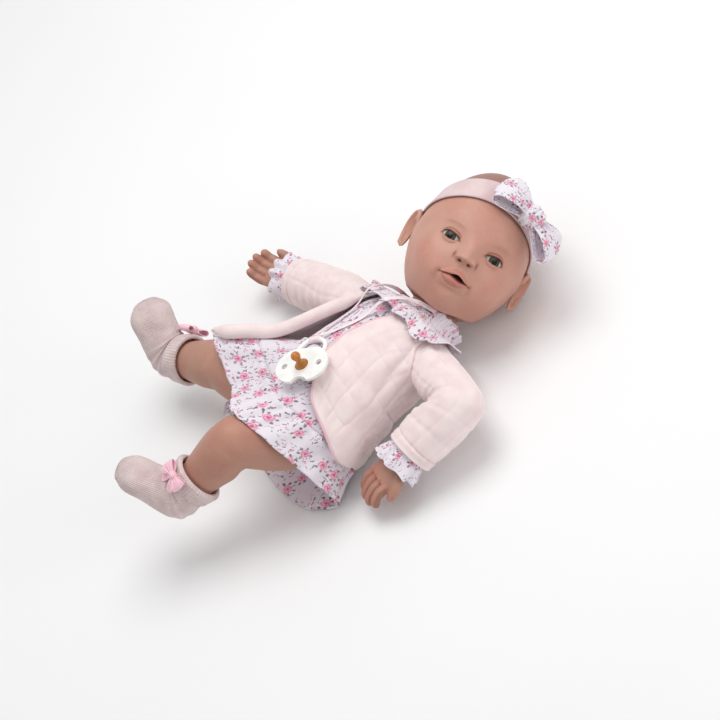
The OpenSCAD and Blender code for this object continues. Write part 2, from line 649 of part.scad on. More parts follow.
// Arms
function arm_stations(s, t1, t2, t3) = let (
    b = [0, 0, 1], elbow = s + t1 * upper_arm_len, wrist = elbow + t2 * forearm_len)
    smooth_stations([
        [s + t1 * clearance, t1, b, arm_r, arm_r],
        [s + t1 * upper_arm_len * 0.5, t1, b, arm_r, arm_r],
        [elbow, unit(t1 + t2), b, arm_r * 0.96, arm_r * 0.96],
        [elbow + t2 * forearm_len * 0.45, t2, b, arm_r * 0.94, arm_r * 0.94],
        [wrist, unit(t2 + t3), b, wrist_r, wrist_r],
        [wrist + t3 * palm_len * 0.55, t3, b, palm_t / 2, palm_w / 2],
        [wrist + t3 * palm_len, t3, b, palm_t * 0.42, palm_w * 0.46]], 2);
function wrist_of(s, t1, t2) = s + t1 * upper_arm_len + t2 * forearm_len;
module fingers(wrist, t3, curl, thumb_side) {
    across = cross(t3, [0, 0, 1]);
    for (k = [-1.5 : 1 : 1.5]) {
        root = wrist + t3 * (palm_len - 5) + across * k * finger_r * 1.75;
        size = finger_len * (1 - 0.07 * k * k);
        loft(rings_of(smooth_stations([
            [root, t3, curl, finger_r, finger_r],
            [root + t3 * size * 0.6 + curl * size * 0.02, unit(t3 + curl * 0.3), curl, finger_r, finger_r],
            [root + t3 * size * 1.05 + curl * size * 0.3, unit(t3 + curl), curl,
                finger_r * 0.9, finger_r * 0.9],
            [root + t3 * size * 1.2 + curl * size * 0.62, unit(t3 * 0.3 + curl), curl,
                finger_r * 0.45, finger_r * 0.45]], 1), 8));
    }
    base = wrist + t3 * palm_len * 0.35 + across * thumb_side * palm_w * 0.34;
    loft(rings_of(smooth_stations([
        [base, unit(t3 + across * thumb_side), curl, finger_r * 1.2, finger_r * 1.2],
        [base + t3 * 8 + across * thumb_side * 7 + curl * 2, unit(t3 + across * thumb_side * 0.6), curl,
            finger_r * 1.1, finger_r * 1.1],
        [base + t3 * 18 + across * thumb_side * 8 + curl * 6, t3, curl,
            finger_r * 0.5, finger_r * 0.5]], 1), 8));
}
module arm(s, t1, t2, t3, curl, thumb_side) {
    color(skin) union() {
        loft(rings_of(arm_stations(s, t1, t2, t3), 20));
        fingers(wrist_of(s, t1, t2), t3, curl, thumb_side);
        limb_flange(s, t1, arm_flange_r);
    }
}
// Sleeve from the armhole to just before the wrist, with its quilted thickness round the arm
sleeve_short = 8;
sleeve_in = 2 * clearance;
sleeve_points = 16;
function sleeve_line(s, t1, t2) = let (
    b = [0, 0, 1], elbow = s + t1 * upper_arm_len, wrist = elbow + t2 * forearm_len)
    smooth_stations([
        [s + t1 * clearance, t1, b, sleeve_r, sleeve_r],
        [s + t1 * upper_arm_len * 0.5, t1, b, sleeve_r, sleeve_r],
        [elbow, unit(t1 + t2), b, sleeve_puff_r, sleeve_puff_r],
        [elbow + t2 * forearm_len * 0.5, t2, b, sleeve_puff_r, sleeve_puff_r],
        [wrist - t2 * sleeve_short, t2, b, sleeve_puff_r * 0.9, sleeve_puff_r * 0.9]], 2);
module sleeve(s, t1, t2) {
    line = sleeve_line(s, t1, t2);
    hole = [for (k = line) [k[0], k[1], k[2], arm_r + sleeve_in, arm_r + sleeve_in]];
    color(quilt) loop_loft(concat(rings_of(line, sleeve_points), rings_of(reversed(hole), sleeve_points)));
}
cuff_points = 36;
module cuff_ruffle(s, t1, t2) {
    start = wrist_of(s, t1, t2) + t2 * (2 * clearance - sleeve_short);
    side = unit([0, 0, 1] - t2 * t2.z);
    up = cross(t2, side);
    function rim(t, r, wave) = [for (j = [0 : cuff_points - 1]) let (
        a = 360 * j / cuff_points, q = r + wave * sin(a * cuff_waves))
        start + t2 * cuff_len * t + side * q * cos(a) + up * q * sin(a)];
    r0 = arm_r + 2 * clearance;
    color(cotton) loop_loft([
        rim(0, r0 + 2, 0), rim(0.5, r0 + 4, ruffle_wave / 2), rim(1, r0 + 6, ruffle_wave),
        rim(1, r0 + 6 - cotton_t * 1.6, ruffle_wave), rim(0.5, r0 + 2, ruffle_wave / 2), rim(0, r0, 0)]);
}
module arm_left()
    arm(left_shoulder, aim(left_upper_arm), aim(left_forearm), aim(left_hand), [0, 0, -1], -1);
module sleeve_left() sleeve(left_shoulder, aim(left_upper_arm), aim(left_forearm));
module cuff_ruffle_left() cuff_ruffle(left_shoulder, aim(left_upper_arm), aim(left_forearm));
module arm_right()
    arm(right_shoulder, aim(right_upper_arm), aim(right_forearm), aim(right_hand), [0, 0, 1], 1);
module sleeve_right() sleeve(right_shoulder, aim(right_upper_arm), aim(right_forearm));
module cuff_ruffle_right() cuff_ruffle(right_shoulder, aim(right_upper_arm), aim(right_forearm));

// Legs
calf_share = 0.45;
function leg_side(t2, fd) = unit(cross(fd, t2));
function leg_stations(hip, t1, t2, fd) = let (
    b = leg_side(t2, fd), knee = hip + t1 * thigh_len, ankle = knee + t2 * shin_len, f = foot_len)
    [[hip + t1 * clearance, t1, b, thigh_r, thigh_r],
        [hip + t1 * thigh_len * 0.5, t1, b, thigh_r, thigh_r],
        [knee, unit(t1 + t2), b, knee_r, knee_r],
        [knee + t2 * shin_len * calf_share, t2, b, calf_r, calf_r],
        [ankle, t2, b, ankle_r, ankle_r],
        [ankle + t2 * 11 + fd * f * 0.07, unit(t2 + fd), b, ankle_r * 0.95, ankle_r * 1.15],
        [ankle + t2 * 13 + fd * f * 0.5, fd, b, foot_w / 2, ankle_r * 0.78],
        [ankle + t2 * 14 + fd * f * 0.86, fd, b, foot_w * 0.46, ankle_r * 0.55],
        [ankle + t2 * 14.5 + fd * f * 1.06, fd, b, foot_w * 0.26, ankle_r * 0.3]];
ankle_index = 8;
module leg(hip, t1, t2, fd) {
    all = smooth_stations(leg_stations(hip, t1, t2, fd), 2);
    color(skin) union() {
        loft(rings_of([for (i = [0 : len(all) - 1]) grown(all[i], i > ankle_index ? -sock_in : 0)], 20));
        limb_flange(hip, t1, leg_flange_r);
    }
}
// Sock: the foot part of the leg with a knit layer and a thicker turned cuff
sock_in = 2 * clearance;
sock_points = 14;
module sock(hip, t1, t2, fd) {
    all = smooth_stations(leg_stations(hip, t1, t2, fd), 2);
    foot = [for (i = [ankle_index : len(all) - 1]) all[i]];
    ankle = foot[0];
    top_r = mix(ankle_r, calf_r, sock_cuff_len / (shin_len * (1 - calf_share)));
    top = [ankle[0] - t2 * sock_cuff_len, t2, ankle[2], top_r, top_r];
    last = foot[len(foot) - 1];
    function ended(by) = [last[0] + fd * by, last[1], last[2], last[3], last[4]];
    outer = concat(
        [grown(top, sock_in + 2 * knit_t), grown(ankle, sock_in + 2 * knit_t)],
        [for (s = foot) grown(s, sock_in + knit_t)], [ended(sock_in + knit_t)]);
    inner = concat([for (s = concat([top], foot)) grown(s, sock_in)], [ended(sock_in)]);
    color(knit) loft(concat(reversed(rings_of(inner, sock_points)), rings_of(outer, sock_points)));
}
module sock_bow(hip, t1, t2, fd, way) {
    all = smooth_stations(leg_stations(hip, t1, t2, fd), 2);
    depth = 6;
    ankle = all[ankle_index];
    rise = sock_cuff_len * 0.55;
    cuff_r = mix(ankle_r, calf_r, rise / (shin_len * (1 - calf_share)));
    instep = unit(fd - t2 * (t2 * fd));
    out = unit(leg_side(t2, fd) * way * 0.64 + instep * 0.77);
    place = ankle[0] - t2 * rise + out * (cuff_r + sock_in + 2 * knit_t + clearance + depth * 0.62);
    color(satin) bow(place, out, unit(cross(t2, out)), 12, 11, depth, 3);
}
module leg_left() leg(left_hip, aim(left_thigh), aim(left_shin), aim(left_foot));
module sock_left() sock(left_hip, aim(left_thigh), aim(left_shin), aim(left_foot));
module sock_bow_left() sock_bow(left_hip, aim(left_thigh), aim(left_shin), aim(left_foot), 1);
module leg_right() leg(right_hip, aim(right_thigh), aim(right_shin), aim(right_foot));
module sock_right() sock(right_hip, aim(right_thigh), aim(right_shin), aim(right_foot));
module sock_bow_right() sock_bow(right_hip, aim(right_thigh), aim(right_shin), aim(right_foot), -1);

// Pacifier on the dress, its teat up and its ring towards the neck
pacifier_xy = [12, -38];
pacifier_turn = 134;
under_pacifier = [for (row = skirt_outer) for (p = row)
    if (norm([p.x, p.y] - pacifier_xy) < knob_d && p.z > body_back) p.z];
pacifier_place = [pacifier_xy.x, pacifier_xy.y, max(under_pacifier) + clearance];
knob_h = 9;
magnet_d = 8;
magnet_t = 2;
lug_wall = 1.4;
lug_t = 4;
lug_x = knob_d / 2 + ring_t / 2 + clearance;
lug_z = ring_t / 2 + clearance + lug_wall;
module on_pacifier() translate(pacifier_place) rotate([0, 0, pacifier_turn]) children();
module shield_outline(grow) {
    hull_r = shield_h / 2 + grow;
    for (side = [-1, 1]) translate([0, side * (shield_w - shield_h) / 2]) circle(r = hull_r);
    translate([-hull_r, -(shield_w - shield_h) / 2]) square([2 * hull_r, shield_w - shield_h]);
}
module pacifier_shield() {
    color(white_plastic) on_pacifier() translate([0, 0, knob_h]) difference() {
        linear_extrude(shield_t) shield_outline(0);
        for (side = [-1, 1]) translate([0, side * shield_w * 0.33, -1]) cylinder(d = 5, h = shield_t + 2);
        translate([-shield_h / 2 - 4, 0, -1]) cylinder(r = 8, h = shield_t + 2);
    }
}
module pacifier_knob() {
    lug_r = ring_t / 2 + clearance + lug_wall;
    color(white_plastic) on_pacifier() difference() {
        union() {
            cylinder(d = knob_d, h = knob_h);
            translate([lug_x, 0, lug_z]) rotate([90, 0, 0]) cylinder(r = lug_r, h = lug_t, center = true);
            translate([0, -lug_t / 2, lug_z - lug_r]) cube([lug_x, lug_t, 2 * lug_r]);
        }
        translate([0, 0, knob_h - magnet_t]) cylinder(d = magnet_d, h = magnet_t + 1);
        translate([lug_x, 0, lug_z]) rotate([90, 0, 0])
            cylinder(r = ring_t / 2 + clearance, h = lug_t + 2, center = true);
    }
}
module pacifier_magnet() {
    color("silver") on_pacifier() translate([0, 0, knob_h - magnet_t]) cylinder(d = magnet_d, h = magnet_t);
}
module pacifier_teat() {
    neck = teat_d * 0.33;
    color("peru") on_pacifier() translate([0, 0, knob_h + shield_t]) rotate_extrude() polygon(concat(
        [[0, 0], [teat_d * 0.75, 0], [neck, teat_len * 0.16], [neck, teat_len * 0.35]],
        [for (a = [-50 : 10 : 80]) [teat_d / 2 * cos(a), teat_len - teat_d / 2 + teat_d / 2 * sin(a)]],
        [[0, teat_len]]));
}
// Ring handle through the lug, its far side down on the dress
ring_tilt = 9;
ring_r = (ring_d - ring_t) / 2;
module on_ring()
    on_pacifier() translate([lug_x, 0, lug_z]) rotate([0, ring_tilt, 0]) translate([ring_r, 0, 0]) children();
module pacifier_ring() {
    color(white_plastic) on_ring() rotate_extrude() translate([ring_r, 0]) circle(d = ring_t);
}

// Ribbon from the ring round the neck and back, over the collar and the dress, and its knot on the ring
ribbon_points = [
    [-15, -13, 89], [-17, -7.5, 86.5], [-19, -1, 83.5], [-20.5, 7, 80.5], [-21.5, 16, 78], [-22, 25, 76.5],
    [-22, 34, 78], [-22, 41, 81], [-22, 47, 81.5], [-22, 53, 78], [-22, 58.5, 72], [-22, 62.5, 65],
    [-22.5, 65.5, 56], [-23, 67.5, 46], [-23, 69, 36], [-21.5, 71.5, 27.5], [-17, 74.5, 20.5],
    [-10, 76.5, 15.5], [-1.5, 78.5, 14], [7, 79, 15.5], [14.5, 79, 20.5], [19.5, 77.5, 27.5],
    [21.5, 75.5, 35.5], [21.5, 72.5, 46],
    [18.5, 69.5, 57], [13, 66, 65.5], [8.5, 62, 71], [6.5, 57.5, 77], [5, 52, 81.5], [3, 46, 85],
    [0.5, 40, 84], [-2, 33, 81], [-4, 25, 80], [-6, 16, 81], [-8, 7, 83], [-9.5, -1, 85.5],
    [-10.5, -5.5, 87.5], [-11.5, -9.5, 89]];
ribbon_core_z = mid_z(shoulder_y);
ribbon_line = spline(ribbon_points, 1);
module pacifier_ribbon() {
    n = len(ribbon_line);
    color(satin) loft([for (i = [0 : n - 1]) let (p = ribbon_line[i]) ring([p,
        ribbon_line[min(i + 1, n - 1)] - ribbon_line[max(i - 1, 0)], [p.x, 0, p.z - ribbon_core_z],
        ribbon_t / 2, ribbon_w / 2], 8)]);
}
knot_angle = 52;
module ribbon_knot() {
    color(satin) on_ring() rotate([0, 0, -knot_angle / 2]) rotate_extrude(angle = knot_angle)
        translate([ring_r, 0]) difference() {
            circle(d = ring_t + clearance + 2 * ribbon_t);
            circle(d = ring_t + clearance);
        }
}

// Sound unit
module case_outline(grow) {
    w = case_w / 2 - case_r;
    l = case_l / 2 - case_r;
    for (x = [-w, w]) for (y = [-l, l]) translate([x, y]) circle(r = case_r + grow);
    square([2 * w, case_l + 2 * grow], center = true);
    square([case_w + 2 * grow, 2 * l], center = true);
}
button_hole_d = button_d - 4;
split_z = case_h * 0.52;
post_x = case_w / 2 - case_r;
post_y = case_l / 2 - case_r;
post_r = 3.2;
screw_r = 1.2;
board_t = 1.6;
board_z = split_z;
bay_w = 3 * cell_d + 1.2;
bay_l = cell_l + 4;
door_t = 2;
switch_x = case_w / 2 - case_wall - 5;
switch_w = 4;
switch_l = 3;
switch_slot_l = switch_l + switch_travel + 2 * clearance;
switch_flange = 1.2;
module at_case() translate(case_place) children();
module posts(low, high, r) {
    for (x = [-post_x, post_x]) for (y = [-post_y, post_y])
        translate([x, y, low]) cylinder(r = r, h = high - low);
}
module sound_case_rear() {
    color(grey_plastic) at_case() difference() {
        union() {
            difference() {
                linear_extrude(split_z) case_outline(0);
                translate([0, 0, case_wall]) linear_extrude(split_z) case_outline(-case_wall);
            }
            posts(0, split_z, post_r);
        }
        posts(-1, split_z + 1, screw_r);
        translate([-bay_w / 2, -bay_l / 2, -1]) cube([bay_w, bay_l, case_wall + 2]);
        translate([switch_x - switch_w / 2, -switch_slot_l / 2, -1])
            cube([switch_w, switch_slot_l, case_wall + 2]);
    }
}
module sound_case_front() {
    color(grey_plastic) at_case() difference() {
        union() {
            difference() {
                translate([0, 0, split_z + board_t])
                    linear_extrude(case_h - split_z - board_t) case_outline(0);
                linear_extrude(case_h - case_wall) case_outline(-case_wall);
            }
            posts(split_z + board_t, case_h, post_r);
        }
        posts(split_z, case_h - 4, screw_r);
        translate([0, 0, case_h - case_wall - 1]) cylinder(d = button_hole_d, h = case_wall + 2);
        for (a = [0 : 30 : 330]) rotate([0, 0, a]) translate([button_d / 2 + 3, 0, case_h - case_wall - 1])
            cylinder(r = 1.2, h = case_wall + 2);
    }
}
module circuit_board() {
    color("darkgreen") at_case() translate([0, 0, board_z]) difference() {
        linear_extrude(board_t) case_outline(0);
        posts(-1, board_t + 1, screw_r);
    }
}
module case_screws() {
    color("silver") at_case() posts(0, case_h - 4, screw_r);
}
module battery_door() {
    color(grey_plastic) at_case() translate([-bay_w / 2 + clearance, -bay_l / 2 + clearance, 0])
        cube([bay_w - 2 * clearance, bay_l - 2 * clearance, door_t]);
}
module battery_cells() {
    color("goldenrod") at_case() for (k = [-1, 0, 1])
        translate([k * (cell_d + 0.3), -cell_l / 2, door_t + cell_d / 2 + 0.2]) rotate([-90, 0, 0]) {
            cylinder(d = cell_d, h = cell_l - 1);
            cylinder(d = 3.6, h = cell_l);
        }
}
module battery_contacts() {
    color("silver") at_case() for (side = [-1, 1])
        translate([-bay_w / 2, side * (cell_l / 2 + 0.9) - 0.5, door_t + 0.2])
            cube([bay_w, 1, board_z - door_t - 0.2]);
}
speaker_floor = 3;
module speaker() {
    top = case_h - case_wall;
    color("dimgray") at_case() translate([0, 0, board_z + board_t]) difference() {
        cylinder(d = speaker_d, h = top - board_z - board_t);
        translate([0, 0, speaker_floor]) cylinder(d = speaker_d - 4, h = top);
    }
}
stem_len = case_wall + button_travel + 0.6;
stem_bore_d = 7;
module squeeze_button() {
    color("orangered") at_case() translate([0, 0, case_h]) union() {
        translate([0, 0, button_travel]) cylinder(d = button_d, h = button_cap_t);
        translate([0, 0, -stem_len])
            cylinder(d = button_hole_d - 2 * clearance, h = stem_len + button_travel);
    }
}
module button_dome() {
    floor_z = board_z + board_t + speaker_floor;
    color("gray") at_case() translate([0, 0, floor_z]) difference() {
        cylinder(d1 = speaker_d - 6, d2 = stem_bore_d + 4,
            h = case_h - stem_len - button_travel - floor_z - clearance);
        translate([0, 0, -1]) cylinder(d = stem_bore_d, h = case_h);
    }
}
module power_switch() {
    flange_z = case_wall + clearance;
    color("black") at_case() translate([switch_x, -switch_slot_l / 2 + clearance, 0]) union() {
        translate([clearance - switch_w / 2, 0, 0]) cube([switch_w - 2 * clearance, switch_l, flange_z + 1]);
        translate([-switch_w / 2 - switch_flange, -switch_flange, flange_z])
            cube([switch_w + 2 * switch_flange, switch_l + 2 * switch_flange, 3]);
    }
}

torso();
neck_tie();
arm_tie_left();
arm_tie_right();
leg_tie_left();
leg_tie_right();
bloomers();
dress_bodice();
dress_skirt();
collar_ruffle();
jacket_body();
head();
neck_plug();
eye_left();
eye_right();
mouth_sensor();
headband();
hair_bow();
arm_left();
sleeve_left();
cuff_ruffle_left();
arm_right();
sleeve_right();
cuff_ruffle_right();
leg_left();
sock_left();
sock_bow_left();
leg_right();
sock_right();
sock_bow_right();
pacifier_shield();
pacifier_knob();
pacifier_magnet();
pacifier_teat();
pacifier_ring();
pacifier_ribbon();
ribbon_knot();
sound_case_front();
sound_case_rear();
speaker();
circuit_board();
battery_cells();
battery_contacts();
battery_door();
case_screws();
squeeze_button();
button_dome();
power_switch();
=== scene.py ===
import itertools
import math

import bpy
import numpy as np
from mathutils import Matrix, Vector, kdtree


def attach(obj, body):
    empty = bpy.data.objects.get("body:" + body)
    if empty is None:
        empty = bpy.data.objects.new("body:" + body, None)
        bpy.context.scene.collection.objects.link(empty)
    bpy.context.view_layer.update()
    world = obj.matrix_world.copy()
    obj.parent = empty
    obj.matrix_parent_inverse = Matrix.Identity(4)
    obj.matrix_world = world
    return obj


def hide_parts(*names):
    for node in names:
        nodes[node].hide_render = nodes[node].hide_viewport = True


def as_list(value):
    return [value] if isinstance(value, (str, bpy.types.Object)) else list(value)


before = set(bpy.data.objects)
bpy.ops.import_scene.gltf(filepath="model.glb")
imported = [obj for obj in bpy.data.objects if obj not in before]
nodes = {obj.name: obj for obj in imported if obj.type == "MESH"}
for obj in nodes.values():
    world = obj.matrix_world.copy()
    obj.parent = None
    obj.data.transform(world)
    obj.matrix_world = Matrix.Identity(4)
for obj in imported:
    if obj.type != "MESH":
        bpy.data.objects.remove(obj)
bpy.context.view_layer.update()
scene = bpy.context.scene
scene.view_settings.view_transform = "Standard"

MM = 0.001


def vec(*values):
    return np.array(values, float)


UP = vec(0, 0, 1)


def unit(v):
    v = np.asarray(v, float)
    return v / np.linalg.norm(v, axis=-1, keepdims=True)


def ease(t):
    t = np.clip(t, 0, 1)
    return t * t * (3 - 2 * t)


def mix(a, b, t):
    return a + (b - a) * t


def bell(x):
    return np.exp(-x * x)


def srgb(red, green, blue):
    """A colour as a paint chart gives it, 0 to 255, in linear light."""
    c = vec(red, green, blue) / 255
    return np.where(c <= 0.04045, c / 12.92, ((c + 0.055) / 1.055) ** 2.4)


def aim(heading, rise):
    a, e = math.radians(heading), math.radians(rise)
    return vec(math.cos(e) * math.cos(a), math.cos(e) * math.sin(a), math.sin(e))


def spokes(e1, e2, a):
    """Directions at angles a from e1 towards e2."""
    return e1 * np.cos(a)[..., None] + e2 * np.sin(a)[..., None]


def whole_turn(count):
    """Evenly spaced angles round a circle."""
    return np.linspace(0, 2 * np.pi, count, endpoint=False)


def sin_deg(angle):
    return np.sin(np.radians(angle))


def running(steps):
    """The length run through before each step and after the last."""
    return np.concatenate([[0], np.cumsum(steps)])


def keep_above(points, low):
    points[..., 2] = np.maximum(points[..., 2], low)


def curve(points, count, closed=False):
    """Smooth curve through points, at evenly counted places."""
    p = np.asarray(points, float)
    n = len(p)
    if closed:
        s = np.arange(count) * n / count
        i = np.floor(s).astype(int)
        a, b, c, d = (p[(i + k) % n] for k in (-1, 0, 1, 2))
    else:
        s = np.linspace(0, n - 1, count)
        i = np.minimum(np.floor(s).astype(int), n - 2)
        p = np.concatenate([[2 * p[0] - p[1]], p, [2 * p[-1] - p[-2]]])
        a, b, c, d = (p[i + k] for k in range(4))
    t = (s - i).reshape(-1, *([1] * (p.ndim - 1)))
    return (2 * b + (c - a) * t + (2 * a - 5 * b + 4 * c - d) * t**2 + (3 * b - a - 3 * c + d) * t**3) / 2


def rough(p, cell, seed=0):
    """Smooth noise from -1 to 1 at points p, with cells of that size in millimetres."""
    q = np.asarray(p, float) / cell + 17.3 * (seed + 1)
    base = np.floor(q).astype(np.int64)
    f = ease(q - base)
    total = 0
    for corner in itertools.product((0, 1), repeat=3):
        h = ((base + np.array(corner)) * np.array([73856093, 19349663, 83492791])).sum(-1)
        h = ((h ^ (h >> 13)) * 1274126177) & 0x7FFFFFFF
        total = total + (h % 4096 / 2047.5 - 1) * np.prod(np.where(corner, f, 1 - f), axis=-1)
    return total


# The camera, rolled as the photograph is
toward = unit(vec(0.713, -0.125, 0.69))
side_on = vec(0.53, 0.74, -0.414)
side_on = unit(side_on - toward * (side_on @ toward))
upward = np.cross(toward, side_on)
AIM_POINT = vec(3.8, 2.4, 54.8)
CAMERA_AWAY, CAMERA_LENS, SENSOR_W = 1600, 102.4, 36
camera_data = bpy.data.cameras.new("camera")
camera_data.lens, camera_data.sensor_width = CAMERA_LENS, SENSOR_W
camera = bpy.data.objects.new("camera", camera_data)
scene.collection.objects.link(camera)
camera.matrix_world = Matrix.Translation(Vector((AIM_POINT + toward * CAMERA_AWAY) * MM)) @ Matrix(
    np.stack([side_on, upward, toward], axis=1).tolist()
).to_4x4()
scene.camera = camera


def finish_mesh(name, verts, faces, uvs=None, tint=None):
    mesh = bpy.data.meshes.new(name)
    mesh.from_pydata((np.asarray(verts) * MM).tolist(), [], faces)
    mesh.polygons.foreach_set("use_smooth", [True] * len(mesh.polygons))
    if uvs is not None:
        layer = mesh.uv_layers.new(name="flat")
        layer.data.foreach_set("uv", np.asarray(uvs, np.float32).ravel())
    if tint is not None:
        colours = np.concatenate([tint, np.ones((len(tint), 1))], axis=1).astype(np.float32)
        mesh.color_attributes.new("tint", "FLOAT_COLOR", "POINT").data.foreach_set("color", colours.ravel())
    mesh.update()
    made = bpy.data.objects.new(name, mesh)
    scene.collection.objects.link(made)
    return made


def grid_object(name, points, closed=False, flip=False, ends=False, keep=None, tint=None):
    """A surface over rows and columns of points, with its cloth laid flat in metres as its UV map."""
    rows, cols = points.shape[:2]
    count = cols if closed else cols - 1
    i, j = (x.ravel() for x in np.meshgrid(np.arange(rows - 1), np.arange(count), indexing="ij"))
    corners = [(i, j), (i + 1, j), (i + 1, j + 1), (i, j + 1)]
    if flip:
        corners = corners[::-1]
    quads = np.stack([a * cols + b % cols for a, b in corners], axis=1)
    across = np.linalg.norm(np.roll(points, -1, axis=1) - points, axis=2)
    u = running(across.max(axis=0)) * MM
    v = running(np.linalg.norm(np.diff(points, axis=0), axis=2).mean(axis=1)) * MM
    uvs = np.stack([np.stack([u[b], v[a]], axis=1) for a, b in corners], axis=1)
    if keep is not None:
        quads, uvs = quads[keep], uvs[keep]
    verts = points.reshape(-1, 3)
    faces = quads.tolist()
    uvs = uvs.reshape(-1, 2)
    if tint is not None:
        tint = tint.reshape(-1, 3)
    if ends:
        start = np.full(cols, len(verts))
        verts = np.concatenate([verts, [points[0].mean(axis=0), points[-1].mean(axis=0)]])
        k = np.arange(cols)
        after = (k + 1) % cols
        last_row = (rows - 1) * cols
        first = np.stack([start, k, after], axis=1)
        last = np.stack([start + 1, last_row + after, last_row + k], axis=1)
        caps = np.concatenate([first, last])
        faces += (caps[:, ::-1] if flip else caps).tolist()
        uvs = np.concatenate([uvs, np.zeros((6 * cols, 2))])
        if tint is not None:
            tint = np.concatenate([tint, tint[:1], tint[-1:]])
    return finish_mesh(name, verts, faces, uvs, tint)


def thick(made, amount, offset=1):
    """Gives a sheet its thickness: outwards, or both ways with an offset of 0."""
    wall = made.modifiers.new("wall", "SOLIDIFY")
    wall.thickness = amount * MM
    wall.offset = offset
    wall.use_quality_normals = True
    return made


def normals(points, closed):
    down = np.gradient(points, axis=0)
    if closed:
        over = np.roll(points, -1, axis=1) - np.roll(points, 1, axis=1)
    else:
        over = np.gradient(points, axis=1)
    n = np.cross(down, over)
    return n / np.maximum(np.linalg.norm(n, axis=2, keepdims=True), 1e-9)


def relaxed(points, closed, rounds):
    """Evens out the kinks of a cloth grid, whose first and last rows stay."""
    p = points.copy()
    for _ in range(rounds):
        if closed:
            sides = (np.roll(p, 1, axis=1) + np.roll(p, -1, axis=1)) / 2
        else:
            sides = p.copy()
            sides[:, 1:-1] = (p[:, :-2] + p[:, 2:]) / 2
        q = p.copy()
        q[1:-1] = ((p[:-2] + p[2:]) / 2 + sides[1:-1]) / 2
        p = mix(p, q, 0.5)
    return p


# Materials


class Paint:
    """A node tree being built, with short words for the nodes it needs."""

    def __init__(self, tree):
        self.tree = tree

    def put(self, socket, value):
        if isinstance(value, bpy.types.NodeSocket):
            self.tree.links.new(value, socket)
        elif socket.type == "RGBA":
            socket.default_value = (*value[:3], 1)
        else:
            socket.default_value = value

    def node(self, kind, inputs=(), **settings):
        made = self.tree.nodes.new("ShaderNode" + kind)
        for key, value in settings.items():
            setattr(made, key, value)
        for key, value in dict(inputs).items():
            self.put(made.inputs[key], value)
        return made

    def calc(self, operation, *values):
        return self.node("Math", enumerate(values), operation=operation).outputs[0]

    def add(self, a, b):
        return self.calc("ADD", a, b)

    def sub(self, a, b):
        return self.calc("SUBTRACT", a, b)

    def mul(self, a, b):
        return self.calc("MULTIPLY", a, b)

    def scaled(self, value, by, plus):
        return self.calc("MULTIPLY_ADD", value, by, plus)

    def wave(self, value, per_unit, operation="SINE"):
        return self.calc(operation, self.mul(value, per_unit))

    def vector(self, operation, *values):
        made = self.node("VectorMath", enumerate(values), operation=operation)
        return made.outputs["Value" if operation in ("LENGTH", "DOT_PRODUCT") else "Vector"]

    def split(self, vector):
        return self.node("SeparateXYZ", {0: vector}).outputs

    def step(self, value, start, end):
        """0 to 1 as the value goes from start to end."""
        return self.node("MapRange", {0: value, 1: start, 2: end}, interpolation_type="SMOOTHSTEP").outputs[0]

    def blend(self, share, a, b):
        return self.node("Mix", {0: share, 6: a, 7: b}, data_type="RGBA").outputs[2]

    def millimetres(self, output="Object"):
        return self.vector("MULTIPLY", self.node("TexCoord").outputs[output], (1000, 1000, 1000))

    def noise(self, place, scale, detail=3.0, output=0):
        return self.node("TexNoise", {"Vector": place, "Scale": scale, "Detail": detail}).outputs[output]


class SurfacePaint(Paint):
    """A material being built."""

    def __init__(self, name):
        self.made = bpy.data.materials.new(name)
        self.made.use_nodes = True
        super().__init__(self.made.node_tree)
        self.shader = self.tree.nodes["Principled BSDF"]

    def bump(self, height, distance, strength):
        made = self.node("Bump", {"Height": height, "Distance": distance * MM, "Strength": strength})
        self.put(self.shader.inputs["Normal"], made.outputs[0])

    def finish(self, colour, roughness, specular=0.5, sheen=0.0, more=()):
        settings = {
            "Base Color": colour, "Roughness": roughness, "Specular IOR Level": specular,
            "Sheen Weight": sheen, **dict(more),
        }
        for key, value in settings.items():
            self.put(self.shader.inputs[key], value)
        return self.made


def glow_under(weight):
    """Settings for light that goes a little way into vinyl or latex."""
    return {
        "Subsurface Weight": weight, "Subsurface Radius": (0.004, 0.0018, 0.001), "Subsurface Scale": 1.0,
    }


def skin_material():
    p = SurfacePaint("vinyl_skin")
    place = p.millimetres()
    tint = p.node("Attribute", attribute_name="tint").outputs["Color"]
    warmer = {"Hue": 0.492, "Saturation": 1.1, "Value": 0.955, "Color": tint}
    warm = p.node("HueSaturation", warmer).outputs[0]
    colour = p.blend(p.step(p.noise(place, 0.035, 4.0), 0.35, 0.75), tint, warm)
    paler = p.node("HueSaturation", {"Saturation": 0.94, "Value": 1.03, "Color": colour}).outputs[0]
    freckle = p.noise(place, 0.9, 2.0)
    colour = p.blend(p.step(freckle, 0.45, 0.7), colour, paler)
    p.bump(p.noise(place, 1.6, 2.0), 0.03, 0.5)
    return p.finish(colour, p.scaled(freckle, 0.18, 0.40), 0.32, more=glow_under(0.12))


def petals(p, place, cells, randomness, shift):
    """Cells of a scattered print: distance and angle from each cell's middle, and two random numbers."""
    moved = p.vector("ADD", place, (shift, shift * 0.7, 0))
    cell = p.node(
        "TexVoronoi", {"Vector": moved, "Scale": 1 / cells, "Randomness": randomness},
        voronoi_dimensions="2D", feature="F1",
    )
    local = p.vector("SUBTRACT", moved, cell.outputs["Position"])
    x, y, _ = p.split(local)
    first, second, third = p.node("SeparateColor", {0: cell.outputs["Color"]}).outputs
    angle = p.add(p.calc("ARCTAN2", y, x), p.mul(third, 6.283))
    return p.vector("LENGTH", local), angle, first, second


ROSE_CELL, ROSE_R, ROSE_LOBE, LEAF_R = 21, 4.6, 0.45, 6.0
